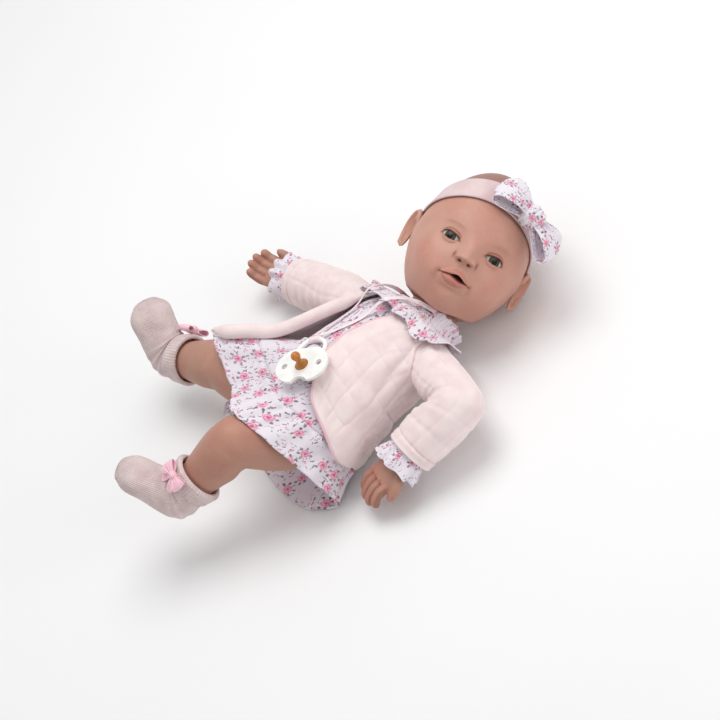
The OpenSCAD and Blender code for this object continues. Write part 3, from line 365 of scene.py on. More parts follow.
# Sprigs between the roses: cell, shift of the pattern, length, colour and share left out
SPRIGS = [
    (5.2, 31, 1.9, srgb(128, 106, 122), 0.56),
    (4.3, 67, 1.4, srgb(154, 140, 152), 0.60),
    (7.5, 113, 2.1, srgb(230, 158, 184), 0.55),
]


def floral_material(name, ground, small=1.0):
    """White cotton with scattered roses, their leaves, and sprigs between them."""
    p = SurfacePaint(name)
    place = p.millimetres("UV")
    wobble = p.noise(place, 0.5, 1.0, "Color")
    place = p.vector("ADD", place, p.vector("MULTIPLY", wobble, (1.2, 1.2, 0)))
    r, angle, first, second = petals(p, place, ROSE_CELL * small, 0.75, 0)
    rose_here = p.step(first, 0.28, 0.30)
    edge = p.scaled(p.wave(angle, 5.0, "COSINE"), ROSE_LOBE * small, ROSE_R * small)
    rose = p.mul(p.step(p.sub(edge, r), 0.0, 0.5), rose_here)
    swirl = p.calc("SINE", p.add(p.mul(r, 2.3 / small), p.mul(angle, 3.0)))
    pink = p.blend(p.step(swirl, -0.5, 0.7), srgb(243, 186, 203), srgb(224, 132, 163))
    pink = p.blend(p.step(r, 1.8 * small, 0.8 * small), pink, srgb(200, 96, 134))
    reach = p.calc("ABSOLUTE", p.sub(r, LEAF_R * small))
    leaf = p.sub(p.wave(angle, 7.0, "COSINE"), p.scaled(reach, 0.62 / small, -0.25))
    leaf = p.mul(p.step(leaf, 0.0, 0.3), rose_here)
    leaf = p.mul(leaf, p.step(p.noise(place, 0.16, 1.0), 0.40, 0.50))
    colour = p.blend(leaf, ground, p.blend(second, srgb(116, 98, 112), srgb(148, 150, 152)))
    for cells, shift, length, sprig, left_out in SPRIGS:
        q, turned, gate, _ = petals(p, place, cells * small, 0.95, shift)
        bent = p.calc("POWER", p.calc("ABSOLUTE", p.calc("COSINE", turned)), 3.0)
        wide = p.scaled(bent, length * small * 0.75, length * small * 0.28)
        dash = p.mul(p.step(p.sub(wide, q), 0.0, 0.35), p.step(gate, left_out, left_out + 0.02))
        dash = p.mul(dash, p.step(p.noise(place, 0.055 / small, 1.0), 0.44, 0.50))
        colour = p.blend(dash, colour, sprig)
    colour = p.blend(rose, colour, pink)
    shade = p.noise(place, 0.8, 2.0)
    colour = p.blend(p.mul(shade, 0.12), colour, srgb(190, 182, 204))
    x, y, _ = p.split(place)
    threads = p.mul(p.wave(x, 12.0), p.wave(y, 12.0))
    p.bump(p.add(threads, p.mul(shade, 2.0)), 0.06, 0.5)
    return p.finish(colour, 0.85, 0.2, 0.15)


def fabric_material(name, colour, deeper, pile, sheen, rib=0.0, rib_depth=0.0):
    """Plain cloth: soft pile or knit with ribs of that width in millimetres."""
    p = SurfacePaint(name)
    place = p.millimetres("UV")
    fuzz = p.noise(place, 1.4, 4.0)
    paint = p.blend(p.step(p.noise(place, 0.07), 0.3, 0.75), colour, deeper)
    paint = p.blend(p.mul(p.step(fuzz, 0.35, 0.75), 0.35), paint, deeper)
    height = p.mul(fuzz, pile)
    if rib:
        x, y, _ = p.split(place)
        over, along = (p.calc("ABSOLUTE", p.wave(axis, math.pi / rib)) for axis in (x, y))
        height = p.scaled(p.scaled(along, 0.4, over), rib_depth, height)
        # Painted shade: the grooves between the ribs are drawn darker, towards the deeper colour.
        paint = p.blend(p.mul(p.step(over, 0.45, 0.0), 0.35), paint, deeper)
    p.bump(height, 1.0, 0.7)
    return p.finish(paint, 0.9, 0.2, sheen)


def satin_material(name, colour, deeper):
    p = SurfacePaint(name)
    place = p.millimetres("UV")
    streak = p.noise(p.vector("MULTIPLY", place, (2.0, 0.1, 1)), 0.8, 2.0)
    p.bump(p.wave(p.split(place)[0], 14.0), 0.03, 0.4)
    return p.finish(p.blend(p.step(streak, 0.3, 0.8), colour, deeper), 0.34, 0.5, 0.2)


def hard_material(name, colour, deeper, roughness, specular=0.5, metal=0.0):
    """Moulded or pressed piece: even colour with faint clouding and a fine grain."""
    p = SurfacePaint(name)
    place = p.millimetres()
    fine = p.noise(place, 0.4)
    p.bump(fine, 0.02, 0.5)
    colour = p.blend(p.step(p.noise(place, 0.09), 0.35, 0.75), colour, deeper)
    return p.finish(colour, p.scaled(fine, 0.16, roughness - 0.08), specular, more={"Metallic": metal})


def teat_material():
    p = SurfacePaint("amber_latex")
    place = p.millimetres()
    paint = p.blend(p.step(p.noise(place, 0.16), 0.3, 0.8), srgb(214, 140, 44), srgb(176, 98, 22))
    p.bump(p.noise(place, 1.1, 2.0), 0.03, 0.4)
    return p.finish(paint, 0.22, more={"Transmission Weight": 0.25, **glow_under(0.35)})


SKIN = skin_material()
COTTON = floral_material("floral_cotton", srgb(234, 226, 233))
SMALL_COTTON = floral_material("floral_cotton_small", srgb(236, 229, 236), 0.72)
QUILT = fabric_material("velour_quilt", srgb(242, 227, 225), srgb(234, 212, 212), 0.18, 0.45)
PIPING = satin_material("piping", srgb(232, 194, 201), srgb(220, 172, 183))
BAND = fabric_material("band_jersey", srgb(228, 206, 206), srgb(214, 186, 188), 0.08, 0.3, 0.9, 0.10)
KNIT = fabric_material("sock_knit", srgb(228, 210, 208), srgb(206, 184, 182), 0.20, 0.35, 2.1, 0.55)
CUFF_KNIT = fabric_material("sock_rib", srgb(231, 213, 211), srgb(206, 184, 182), 0.14, 0.35, 2.6, 0.60)
SATIN = satin_material("pink_satin", srgb(250, 208, 219), srgb(238, 178, 197))
RIBBON = satin_material("ribbon_satin", srgb(246, 234, 236), srgb(236, 214, 220))
BODY_CLOTH = fabric_material("body_cloth", srgb(232, 208, 190), srgb(214, 186, 166), 0.10, 0.2, 0.8, 0.08)
WHITE = hard_material("white_plastic", srgb(246, 246, 243), srgb(232, 232, 227), 0.24)
GREY = hard_material("grey_plastic", srgb(150, 152, 156), srgb(128, 130, 136), 0.45)
STEEL = hard_material("steel", srgb(196, 198, 200), srgb(170, 172, 176), 0.28, metal=1.0)
BOARD = hard_material("board", srgb(28, 92, 54), srgb(18, 70, 42), 0.4)
CELL = hard_material("cell", srgb(196, 150, 64), srgb(150, 108, 40), 0.35)
BUTTON = hard_material("button_plastic", srgb(232, 92, 52), srgb(206, 72, 38), 0.35)
DOME = hard_material("dome_rubber", srgb(108, 108, 110), srgb(86, 86, 90), 0.7, 0.3)
TEAT = teat_material()


def wear(made, material, body, slot, *replaced):
    """Finishes a piece: its material, the body it moves with and the solids it stands for; its slot is not
    used.
    """
    made.data.materials.clear()
    made.data.materials.append(material)
    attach(made, body)
    if replaced:
        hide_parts(*replaced)
    return made


# Ribbon from the pacifier's ring round the neck and back
RIBBON_ROUTE = vec(
    [-15, -13, 89], [-17, -7.5, 86.5], [-19, -1, 83.5], [-20.5, 7, 80.5], [-21.5, 16, 78], [-22, 25, 76.5],
    [-22, 34, 78], [-22, 41, 81], [-22, 47, 81.5], [-22, 53, 78], [-22, 58.5, 72], [-22, 62.5, 65],
    [-22.5, 65.5, 56], [-23, 67.5, 46], [-23, 69, 36], [-21.5, 71.5, 27.5], [-17, 74.5, 20.5],
    [-10, 76.5, 15.5], [-1.5, 78.5, 14], [7, 79, 15.5], [14.5, 79, 20.5], [19.5, 77.5, 27.5],
    [21.5, 75.5, 35.5], [21.5, 72.5, 46], [18.5, 69.5, 57], [13, 66, 65.5], [8.5, 62, 71],
    [6.5, 57.5, 77], [5, 52, 81.5], [3, 46, 85], [0.5, 40, 84], [-2, 33, 81], [-4, 25, 80],
    [-6, 16, 81], [-8, 7, 83], [-9.5, -1, 85.5], [-10.5, -5.5, 87.5], [-11.5, -9.5, 89],
)
RIBBON_W, RIBBON_T = 3.4, 0.9
RIBBON_ROWS = 300
# Height of the body's middle line, from which the ribbon's face points away
CORE_Z = 39.9


def ribbon_piece():
    line = curve(RIBBON_ROUTE, RIBBON_ROWS)
    heading = unit(np.gradient(line, axis=0))
    face = line * vec(1, 0, 1) - vec(0, 0, CORE_Z)
    face = unit(face - heading * (face * heading).sum(axis=1, keepdims=True))
    over = np.cross(heading, face)
    a = whole_turn(24)
    wide, deep = np.cos(a), np.sin(a)
    wide = np.sign(wide) * np.abs(wide) ** 0.5
    crimp = 1 + 0.05 * np.sin(np.arange(RIBBON_ROWS) * 0.9)
    points = line[:, None] + (over * crimp[:, None])[:, None] * (wide * RIBBON_W / 2)[:, None]
    points = points + face[:, None] * (deep * RIBBON_T / 2)[:, None]
    made = grid_object("pacifier_ribbon_satin", points, closed=True, flip=True, ends=True)
    wear(made, RIBBON, "root", "satin", "pacifier_ribbon")
    return made, line


ribbon, ribbon_line = ribbon_piece()

# The stuffed body that the clothes lie on
CLEARANCE = 0.4
COTTON_T = 1.2
QUILT_T, QUILT_CELL = 3.0, 16.0
UNDER_IN = CLEARANCE
UNDER_OUT = UNDER_IN + COTTON_T
SKIRT_IN = UNDER_OUT + CLEARANCE
SKIRT_FOLD = 0.8
JACKET_IN = SKIRT_IN + SKIRT_FOLD + COTTON_T + CLEARANCE
JACKET_OUT = JACKET_IN + QUILT_T
FLAT_CUT = 1.5
BODY_BACK = JACKET_OUT - FLAT_CUT
CROTCH_Y = -88.0
TORSO_LEN = 156.0
HIP_W, WAIST_W, CHEST_W, BODY_NECK_W = 98.0, 92.0, 90.0, 47.0
BELLY_D, CHEST_D = 79.0, 68.0
# Share of the body's length, width, depth and height of the back line
BODY_STATIONS = vec(
    [0, HIP_W * 0.26, BELLY_D * 0.26, 24],
    [0.04, HIP_W * 0.66, BELLY_D * 0.6, 11],
    [0.13, HIP_W * 0.94, BELLY_D * 0.86, 3],
    [0.27, HIP_W, BELLY_D * 0.98, 0],
    [0.46, WAIST_W, BELLY_D, 0],
    [0.64, CHEST_W, mix(BELLY_D, CHEST_D, 0.5), 0],
    [0.78, CHEST_W, CHEST_D, 1],
    [0.89, CHEST_W * 0.88, CHEST_D * 0.88, 2],
    [0.96, mix(CHEST_W, BODY_NECK_W, 0.75), CHEST_D * 0.76, 3],
    [1, BODY_NECK_W, BODY_NECK_W, 5],
)
body_line = curve(BODY_STATIONS, 109)


def body_y(share):
    return CROTCH_Y + TORSO_LEN * share


line_y = body_y(body_line[:, 0])


def half_w(y):
    return np.interp(y, line_y, body_line[:, 1] / 2)


def half_d(y):
    return np.interp(y, line_y, body_line[:, 2] / 2)


def mid_z(y):
    return np.interp(y, line_y, body_line[:, 3] + BODY_BACK) + half_d(y)


def body_point(y, degrees, off):
    a = np.radians(degrees)
    y, a, off = np.broadcast_arrays(np.asarray(y, float), a, off)
    return np.stack([(half_w(y) + off) * np.sin(a), y, mid_z(y) + (half_d(y) + off) * np.cos(a)], axis=-1)


LEFT, RIGHT = 0, 1
SIDES = ("left", "right")
SHOULDER_X, SHOULDER_Y = 34.0, 40.0
HIP_X, HIP_Y = 29.0, -57.0
shoulders = [vec(x, SHOULDER_Y, mid_z(SHOULDER_Y)) for x in (SHOULDER_X, -SHOULDER_X)]
hips = [vec(x, HIP_Y, mid_z(HIP_Y)) for x in (HIP_X, -HIP_X)]
UPPER_ARMS = [aim(-11, 4), aim(-178, -12)]
FOREARMS = [aim(-99, -15), aim(-165, -2)]
HANDS = [aim(-102, -9), aim(-163, 6)]
THIGHS = [aim(-111, 30), aim(-166, 7)]
SHINS = [aim(-111, -19), aim(-158, -5)]
FEET = [aim(-149, 51), aim(147, 59)]
UPPER_ARM_LEN, FOREARM_LEN = 66.0, 60.0
THIGH_LEN, SHIN_LEN = 71.0, 55.0
THIGH_R, KNEE_R, CALF_R, ANKLE_R = 25.0, 22.0, 19.5, 15.0
SLEEVE_R, SLEEVE_PUFF_R, ARM_R = 19.5, 21.0, 13.5
elbows = [shoulders[k] + UPPER_ARMS[k] * UPPER_ARM_LEN for k in (LEFT, RIGHT)]
wrists = [elbows[k] + FOREARMS[k] * FOREARM_LEN for k in (LEFT, RIGHT)]
knees = [hips[k] + THIGHS[k] * THIGH_LEN for k in (LEFT, RIGHT)]


def off_body(p, off):
    c = mid_z(p[..., 1])
    x, z = p[..., 0] / (half_w(p[..., 1]) + off), (p[..., 2] - c) / (half_d(p[..., 1]) + off)
    q = np.maximum(np.hypot(x, z), 1e-6)
    q = np.where((p[..., 1] < CROTCH_Y) | (q >= 1), 1, q)
    return np.stack([p[..., 0] / q, p[..., 1], c + (p[..., 2] - c) / q], axis=-1)


def off_limb(p, a, b, ra, rb, off):
    t = np.clip((p - a) @ (b - a) / ((b - a) @ (b - a)), 0, 1)[..., None]
    c = mix(a, b, t)
    r = mix(ra, rb, t) + np.asarray(off)[..., None]
    d = np.maximum(np.linalg.norm(p - c, axis=-1, keepdims=True), 1e-6)
    return np.where(d >= r, p, c + (p - c) * r / d)


def drape(p, off, low):
    q = off_body(p, off)
    for k in (LEFT, RIGHT):
        q = off_limb(q, hips[k], knees[k], THIGH_R, KNEE_R, off)
    keep_above(q, low)
    return q


def distance_from_axis(p, start, heading):
    along = (p - start) @ heading
    return along, np.linalg.norm(p - start - along[..., None] * heading, axis=-1)


def cut_round(points, cylinders):
    """Draws the points near each round hole onto its rim and tells which are inside."""
    inside = np.zeros(points.shape[:2], bool)
    for start, heading, radius, near in cylinders:
        along, away = distance_from_axis(points, start, heading)
        axis_point = start + along[..., None] * heading
        outward = (points - axis_point) / np.maximum(away, 1e-6)[..., None]
        rim = (np.abs(away - radius) < near) & (along > 0)
        points = np.where(rim[..., None], axis_point + outward * radius, points)
        inside |= (away < radius - near / 2) & (along > 0) & ~rim
    return points, inside


def kept_faces(inside, closed):
    """Faces with no corner inside a hole, in the order in which grid_object makes them."""
    count = inside.shape[1] if closed else inside.shape[1] - 1
    right = np.roll(inside, -1, axis=1)
    hit = inside[:-1] | inside[1:] | right[:-1] | right[1:]
    return ~hit[:, :count].ravel()


def arm_cylinders(extra, near):
    return [(shoulders[k], UPPER_ARMS[k], SLEEVE_R + extra, near) for k in (LEFT, RIGHT)]


def leg_cylinders(extra, near):
    return [(hips[k], THIGHS[k], THIGH_R + extra, near) for k in (LEFT, RIGHT)]


# The head's frame, leaning and nodding on the neck and turned about it
NECK_Y = body_y(1)
NECK_HOLE_R = 29.5
HEAD_LEAN, HEAD_NOD, HEAD_TURN = np.radians([8, 16, 43])
NECK_PLACE = vec(0, NECK_Y, mid_z(NECK_Y))
HEAD_UP = unit(vec(-math.sin(HEAD_LEAN), math.cos(HEAD_LEAN) * math.cos(HEAD_NOD), math.sin(HEAD_NOD)))
head_fore = unit(UP - HEAD_UP * HEAD_UP[2])
head_side = np.cross(HEAD_UP, head_fore)
HEAD_FACE = head_fore * math.cos(HEAD_TURN) + head_side * math.sin(HEAD_TURN)
HEAD_LEFT = head_side * math.cos(HEAD_TURN) - head_fore * math.sin(HEAD_TURN)

# Stuffed body, bloomers and the bodice of the dress


def closed_end(points):
    """Adds a shallow dome over the open end at the first row."""
    middle = points[0].mean(axis=0)
    share = vec(0.02, 0.35, 0.62, 0.84, 0.96)[:, None, None]
    dome = mix(middle, points[0], share) + vec(0, -3, 0) * (1 - share**2)
    return np.concatenate([dome, points])


def from_spine(points):
    """Outward directions from the middle line of the body."""
    spine = np.stack([np.zeros(len(line_y)), line_y, mid_z(line_y)], axis=1)
    return unit(points - spine[:, None] + 1e-6)


def sewn(name, points, openings, thickness, material, slot, node):
    """A piece that goes all round the body, with round openings."""
    points, hole = cut_round(points, openings)
    made = grid_object(name, points, closed=True, keep=kept_faces(hole, True), flip=True)
    if thickness:
        thick(made, thickness)
    return wear(made, material, "root", slot, node)


turn_round = np.linspace(0, 360, 240, endpoint=False)
torso_points = body_point(line_y[:, None], turn_round, 0)
seam_line = bell((((turn_round + 90) % 180) - 90) / 4)[None, :, None]
torso_points = torso_points - from_spine(torso_points) * 0.5 * seam_line
lumps = rough(torso_points, 22) * 0.35 - 0.35
torso_points = torso_points + from_spine(torso_points) * lumps[..., None]
neck_hole = (NECK_PLACE - HEAD_UP, HEAD_UP, NECK_HOLE_R, 1.2)
openings = [*arm_cylinders(CLEARANCE, 1.2), *leg_cylinders(CLEARANCE, 1.2), neck_hole]
torso = sewn("stuffed_body", closed_end(torso_points), openings, 0, BODY_CLOTH, "body_cloth", "torso")

bloomer_y = np.linspace(CROTCH_Y, body_y(0.33), 110)
fine_round = np.linspace(0, 360, 480, endpoint=False)
bloomer_points = body_point(bloomer_y[:, None], fine_round, UNDER_IN)
crinkle = sin_deg(fine_round * 40) * ease((bloomer_y - body_y(0.25)) / 12)[:, None]
crinkle = (crinkle + rough(bloomer_points, 14, 3)) * 0.25
bloomer_points = bloomer_points - normals(bloomer_points, True) * crinkle[..., None]
bloomers = sewn(
    "bloomers_cotton", closed_end(bloomer_points), leg_cylinders(1.4, 1.0), COTTON_T, COTTON, "floral_cotton",
    "bloomers")

bodice_y = np.linspace(body_y(0.46) + 3 * CLEARANCE, body_y(0.955), 50)
bodice_points = body_point(bodice_y[:, None], turn_round, UNDER_IN)
bodice_points = bodice_points - normals(bodice_points, True) * (rough(bodice_points, 12, 5) * 0.2)[..., None]
bodice = sewn(
    "bodice_cotton", bodice_points, arm_cylinders(CLEARANCE, 1.4), COTTON_T, COTTON, "floral_cotton",
    "dress_bodice")

# Skirt, gathered at the waist, with a deep hem flounce
HEM_RING = vec(
    [-42, HIP_Y - 30, 76], knees[LEFT] + vec(-12, 14, 18), knees[LEFT] + vec(20, 16, 12),
    hips[LEFT] + vec(27, -34, 4), [54, HIP_Y - 30, 8], [35, HIP_Y - 48, 6], [-14, HIP_Y - 52, 6],
    [-66, HIP_Y - 42, 6], knees[RIGHT] + vec(-2, -24, -38), knees[RIGHT] + vec(-8, 8, -36),
    knees[RIGHT] + vec(-8, 33, -4), knees[RIGHT] + vec(-6, 12, 30),
)
SKIRT_COLS, SKIRT_ROWS = 360, 84
WAIST_Y = body_y(0.46)
skirt_low = BODY_BACK - SKIRT_IN
skirt_angle = np.linspace(0, 360, SKIRT_COLS, endpoint=False)
waist_ring = body_point(WAIST_Y, skirt_angle, UNDER_IN)
hem_curve = curve(HEM_RING, SKIRT_COLS, closed=True)
t = np.linspace(0, 1, SKIRT_ROWS)[:, None]
fold = sin_deg(skirt_angle * 12)[None, :]
outward = spokes(UP, vec(1, 0, 0), np.radians(skirt_angle))
skirt_points = mix(waist_ring, hem_curve, (t**1.5)[..., None])
skirt_points = skirt_points + outward * ((fold + 1) * 1.6 * t)[..., None]
skirt_points[..., 1] = mix(waist_ring[:, 1], hem_curve[:, 1], t)
skirt_off = np.where(t > 0, SKIRT_IN + SKIRT_FOLD * (1 + fold) / 2, UNDER_IN)
skirt_points = drape(skirt_points, skirt_off, skirt_low)
skirt_points = relaxed(skirt_points, True, 8)
gathers = sin_deg(skirt_angle * 54 + 40 * sin_deg(skirt_angle * 5))[None, :]
gathers = gathers * bell((t - 0.05) / 0.13) * ease(t / 0.04)
SEAM_T = 0.60
seam = -1.7 * bell((t - SEAM_T) / 0.016) + 0.9 * bell((t - SEAM_T - 0.04) / 0.03)
flounce = sin_deg(skirt_angle * 30 + 60 * sin_deg(skirt_angle * 3))[None, :]
flounce = flounce * (bell((t - SEAM_T - 0.05) / 0.07) + 0.9 * ease((t - SEAM_T) / 0.3))
soft = rough(skirt_points, 26, 7) * 0.9 + rough(skirt_points, 11, 8) * 0.35
hem_roll = 0.5 * bell((t - 0.985) / 0.012)
skirt_points = skirt_points + normals(skirt_points, True) * (
    gathers * 0.35 + seam + flounce + soft * ease(t * 3) * 0.6 + hem_roll + 0.15
)[..., None]
keep_above(skirt_points, skirt_low)
skirt = grid_object("skirt_cotton", skirt_points, closed=True)
thick(skirt, COTTON_T)
wear(skirt, COTTON, "root", "floral_cotton", "dress_skirt")
skirt_normals = normals(skirt_points, True)

# Neck ruffle
COLLAR_W, COLLAR_FLARE, RUFFLE_WAVE = 24.0, 18.0, 3.2
COLLAR_COLS, COLLAR_ROWS = 600, 52
collar_y = body_y(0.955)
a = np.linspace(-180, 180, COLLAR_COLS, endpoint=False)[None, :]
t = np.linspace(-0.4, 1, COLLAR_ROWS)[:, None]
rise = np.maximum(-t, 0) / 0.4
t = np.maximum(t, 0)
front = (1 + np.cos(np.radians(a))) / 2
left_side = ease((a - 38) / 22) * ease((155 - a) / 30)
neck_rise = mix(mix(3.0, 6.0, ease((a + 2) / 18) * ease((170 - a) / 30)), 14.0, left_side)
fall = ease((front - 0.42) / 0.4)
phase = a * 17 + 50 * sin_deg(a * 5) + 35 * sin_deg(a * 3 + 40)
wave = RUFFLE_WAVE * front * t * (1 + sin_deg(phase))
pleat = sin_deg(a * 58 + 30 * sin_deg(a * 7))
pleat = pleat * (0.5 * bell((t - 0.18) / 0.25) + 0.35 * t * front)
over = mix(JACKET_IN, JACKET_OUT + 3 * CLEARANCE, np.minimum(1, 2 * front))
off = mix(UNDER_OUT + CLEARANCE, over, np.minimum(1, 3 * t))
flare = (1 - fall) * ease((front - 0.12) / 0.3) * (1 - 0.6 * ease((a - 75) / 30))
level = mix(5 * (1 - front), 1.1 * (1 + sin_deg(phase)), flare)
fall_len = COLLAR_W * mix(0.7, 0.8, ease((a - 15) / 25) * ease((130 - a) / 30))
reach = mix(level, -fall_len * (1 + 0.13 * sin_deg(phase + 70)), fall)
frill = left_side * rise * (4.5 + sin_deg(phase / 2 + 60))
collar_points = body_point(
    collar_y + t * reach + rise * neck_rise * (1 + 0.07 * sin_deg(phase)), a,
    off + wave + pleat + t * flare * COLLAR_FLARE + frill)
stand = t * (QUILT_T + 2 * CLEARANCE) + wave / 2
for k in (LEFT, RIGHT):
    collar_points = off_limb(collar_points, shoulders[k], elbows[k], SLEEVE_R, SLEEVE_PUFF_R, stand)
collar_points = relaxed(collar_points, True, 3)
collar = grid_object("collar_cotton", collar_points, closed=True)
thick(collar, COTTON_T * 0.8)
wear(collar, SMALL_COTTON, "root", "floral_cotton", "collar_ruffle")

# Quilted jacket, open at the front, its right front thrown open over the thigh
JACKET_TOP_Y = body_y(0.905)
JACKET_ROWS = 130
FRONT_COLS, BACK_COLS = 80, 150
left_edge = curve(
    [body_point(JACKET_TOP_Y, 30, JACKET_IN), body_point(body_y(0.76), 12, JACKET_IN),
     hips[LEFT] + vec(-22, 47, 45), hips[LEFT] + vec(-2, 7, 38)], JACKET_ROWS)
right_edge = curve(
    [body_point(JACKET_TOP_Y, -40, JACKET_IN), body_point(body_y(0.7), -44, JACKET_IN + 4),
     hips[RIGHT] + vec(-29, 22, 38), knees[RIGHT] + vec(-3, 5, 29)], JACKET_ROWS)
left_seam = curve(
    [body_point(JACKET_TOP_Y, 88, JACKET_IN), body_point(body_y(0.55), 92, JACKET_IN),
     hips[LEFT] + vec(24, -8, 4)], JACKET_ROWS)
right_seam = curve(
    [body_point(JACKET_TOP_Y, -88, JACKET_IN), body_point(body_y(0.7), -92, JACKET_IN),
     body_point(body_y(0.48), -94, JACKET_IN + 3)], JACKET_ROWS)
jacket_low = QUILT_T
JACKET_HEM_Y = HIP_Y - 4
v = np.linspace(0, 1, JACKET_ROWS)[:, None]
PUFF = vec(5, 0, 6)


def jacket_front(start, end, u, puff):
    arch = np.sin(np.pi * u) * ease(v)
    return mix(start[:, None], end[:, None], u[..., None]) + puff * arch[..., None]


u_front = np.linspace(0, 1, FRONT_COLS, endpoint=False)[None, :]
u_back = np.linspace(0, 1, BACK_COLS)[None, :]
arch = np.sin(np.pi * u_back)
seam_y = mix(left_seam[:, None, 1], right_seam[:, None, 1], u_back)
back_y = mix(seam_y, mix(JACKET_TOP_Y, JACKET_HEM_Y, v), arch)
back = body_point(back_y, mix(90, 270, u_back), JACKET_IN)
nearer = np.where((u_back < 0.5)[..., None], left_seam[:, None], right_seam[:, None])
jacket_points = np.concatenate(
    [
        jacket_front(left_edge, left_seam, u_front, PUFF),
        mix(nearer, back, np.sqrt(np.clip(arch, 0, 1))[..., None]),
        jacket_front(right_seam, right_edge, (1 - u_front)[:, ::-1], PUFF * vec(-0.4, 1, 0.4)),
    ],
    axis=1,
)
skirt_tree = kdtree.KDTree(skirt_points.shape[0] * skirt_points.shape[1])
skirt_flat = (skirt_points + skirt_normals * COTTON_T).reshape(-1, 3)
skirt_out = skirt_normals.reshape(-1, 3)
for index, place in enumerate(skirt_flat):
    skirt_tree.insert(place, index)
skirt_tree.balance()


def off_skirt(points, gap, reach=30):
    """Lifts points that are under or too close over the skirt."""
    flat = points.reshape(-1, 3)
    found = [skirt_tree.find(p) for p in flat]
    index = np.array([f[1] for f in found])
    far = np.array([f[2] for f in found])
    rise = ((flat - skirt_flat[index]) * skirt_out[index]).sum(axis=1)
    lift = np.where((rise < gap) & (far < reach), gap - rise, 0)
    return (flat + skirt_out[index] * lift[:, None]).reshape(points.shape)


jacket_points = drape(jacket_points, JACKET_IN, jacket_low)
for _ in range(3):
    jacket_points = relaxed(off_skirt(jacket_points, 3.0), False, 6)
jacket_points = off_skirt(jacket_points, 2.2)
jacket_points = relaxed(jacket_points, False, 3)
width_at = running(np.linalg.norm(np.diff(jacket_points, axis=1), axis=2).mean(axis=0))
depth_at = running(np.linalg.norm(np.diff(jacket_points, axis=0), axis=2).mean(axis=1))


def quilted(over, along, sway):
    """Height of soft quilting, drawn down along its stitch lines."""
    a = np.abs(np.sin(np.pi * (over + sway) / QUILT_CELL))
    b = np.abs(np.sin(np.pi * (along + 0.6 * sway) / QUILT_CELL))
    return (np.minimum(a, 0.5) + np.minimum(b, 0.5)) - 0.6


sway = rough(jacket_points, 30, 11) * 4
puffed = quilted(width_at[None, :], depth_at[:, None], sway)
rumple = rough(jacket_points, 34, 12) * 0.8 + rough(jacket_points, 13, 13) * 0.35
column = np.arange(jacket_points.shape[1])[None, :] / FRONT_COLS
fold_fade = ease(v / 0.08) * ease((0.75 - v) / 0.35)
for start, depth, spread in ((0.42, 2.4, 0.06), (0.66, 1.5, 0.05), (0.20, 1.0, 0.07)):
    rumple = rumple - depth * bell((column - start - 0.55 * v) / spread) * fold_fade
jacket_points = jacket_points + normals(jacket_points, False) * (puffed * 1.2 + rumple)[..., None]

EDGE_STRIP, EDGE_WINDOW = 14, 19


def evened(line, window):
    """A row of numbers or points, averaged over a window along itself."""
    share = np.ones(window) / window
    longer = np.pad(line, [(window // 2,) * 2] + [(0, 0)] * (line.ndim - 1), "edge")
    return np.apply_along_axis(np.convolve, 0, longer, share, "valid")


for strip in (
    jacket_points[:, :EDGE_STRIP].swapaxes(0, 1),
    jacket_points[:, : -EDGE_STRIP - 1 : -1].swapaxes(0, 1),
    jacket_points[: -EDGE_STRIP - 1 : -1],
):
    for line, part in zip(strip, np.linspace(1, 0, EDGE_STRIP)):
        line += (evened(line, EDGE_WINDOW) - line) * part
keep_above(jacket_points, jacket_low)
whole_jacket = jacket_points.copy()
jacket_points, hole = cut_round(jacket_points, arm_cylinders(0.0, 1.0))
jacket = grid_object("jacket_quilt", jacket_points, keep=kept_faces(hole, False))
thick(jacket, QUILT_T * 0.9)
wear(jacket, QUILT, "root", "quilt", "jacket_body")


def tube(name, line, radius, count):
    """A round cord along a line, thicker or thinner as its radius says."""
    heading = unit(np.gradient(line, axis=0))
    e1 = unit(np.cross(heading, vec(0.31, 0.52, 0.79)))
    e2 = np.cross(heading, e1)
    a = whole_turn(count)
    radius = np.broadcast_to(radius, len(line))
    points = line[:, None] + radius[:, None, None] * spokes(e1[:, None], e2[:, None], a)
    return grid_object(name, points, closed=True, flip=True, ends=True)


jacket_out = whole_jacket + normals(whole_jacket, False) * QUILT_T * 0.5
inner = np.concatenate([jacket_out[:, 4], jacket_out[-5, 1:FRONT_COLS]])
border = np.concatenate([jacket_out[:, 0], jacket_out[-1, 1:FRONT_COLS]])
border = border + unit(border - inner) * 0.6
keep_above(border, 1.8)
piping = tube("jacket_piping", curve(border[::4], 360), 1.4, 14)
wear(piping, PIPING, "root", "quilt")
ROLL_ROWS, ROLL_R = 160, 5.2
roll_share = np.linspace(0, 1, ROLL_ROWS)
right_border = jacket_out[int(JACKET_ROWS * 0.12) : int(JACKET_ROWS * 0.97) : 6, -1]
roll_line = curve(right_border, ROLL_ROWS) + vec(2.0, 0, 1.5)
roll_size = ROLL_R * ease(roll_share / 0.25) * mix(1, 0.55, ease((roll_share - 0.93) / 0.07)) + 0.4
roll_size = roll_size + rough(roll_line, 18, 15) * 0.5
roll = tube("jacket_rolled_edge", roll_line, roll_size, 28)
wear(roll, QUILT, "root", "quilt")


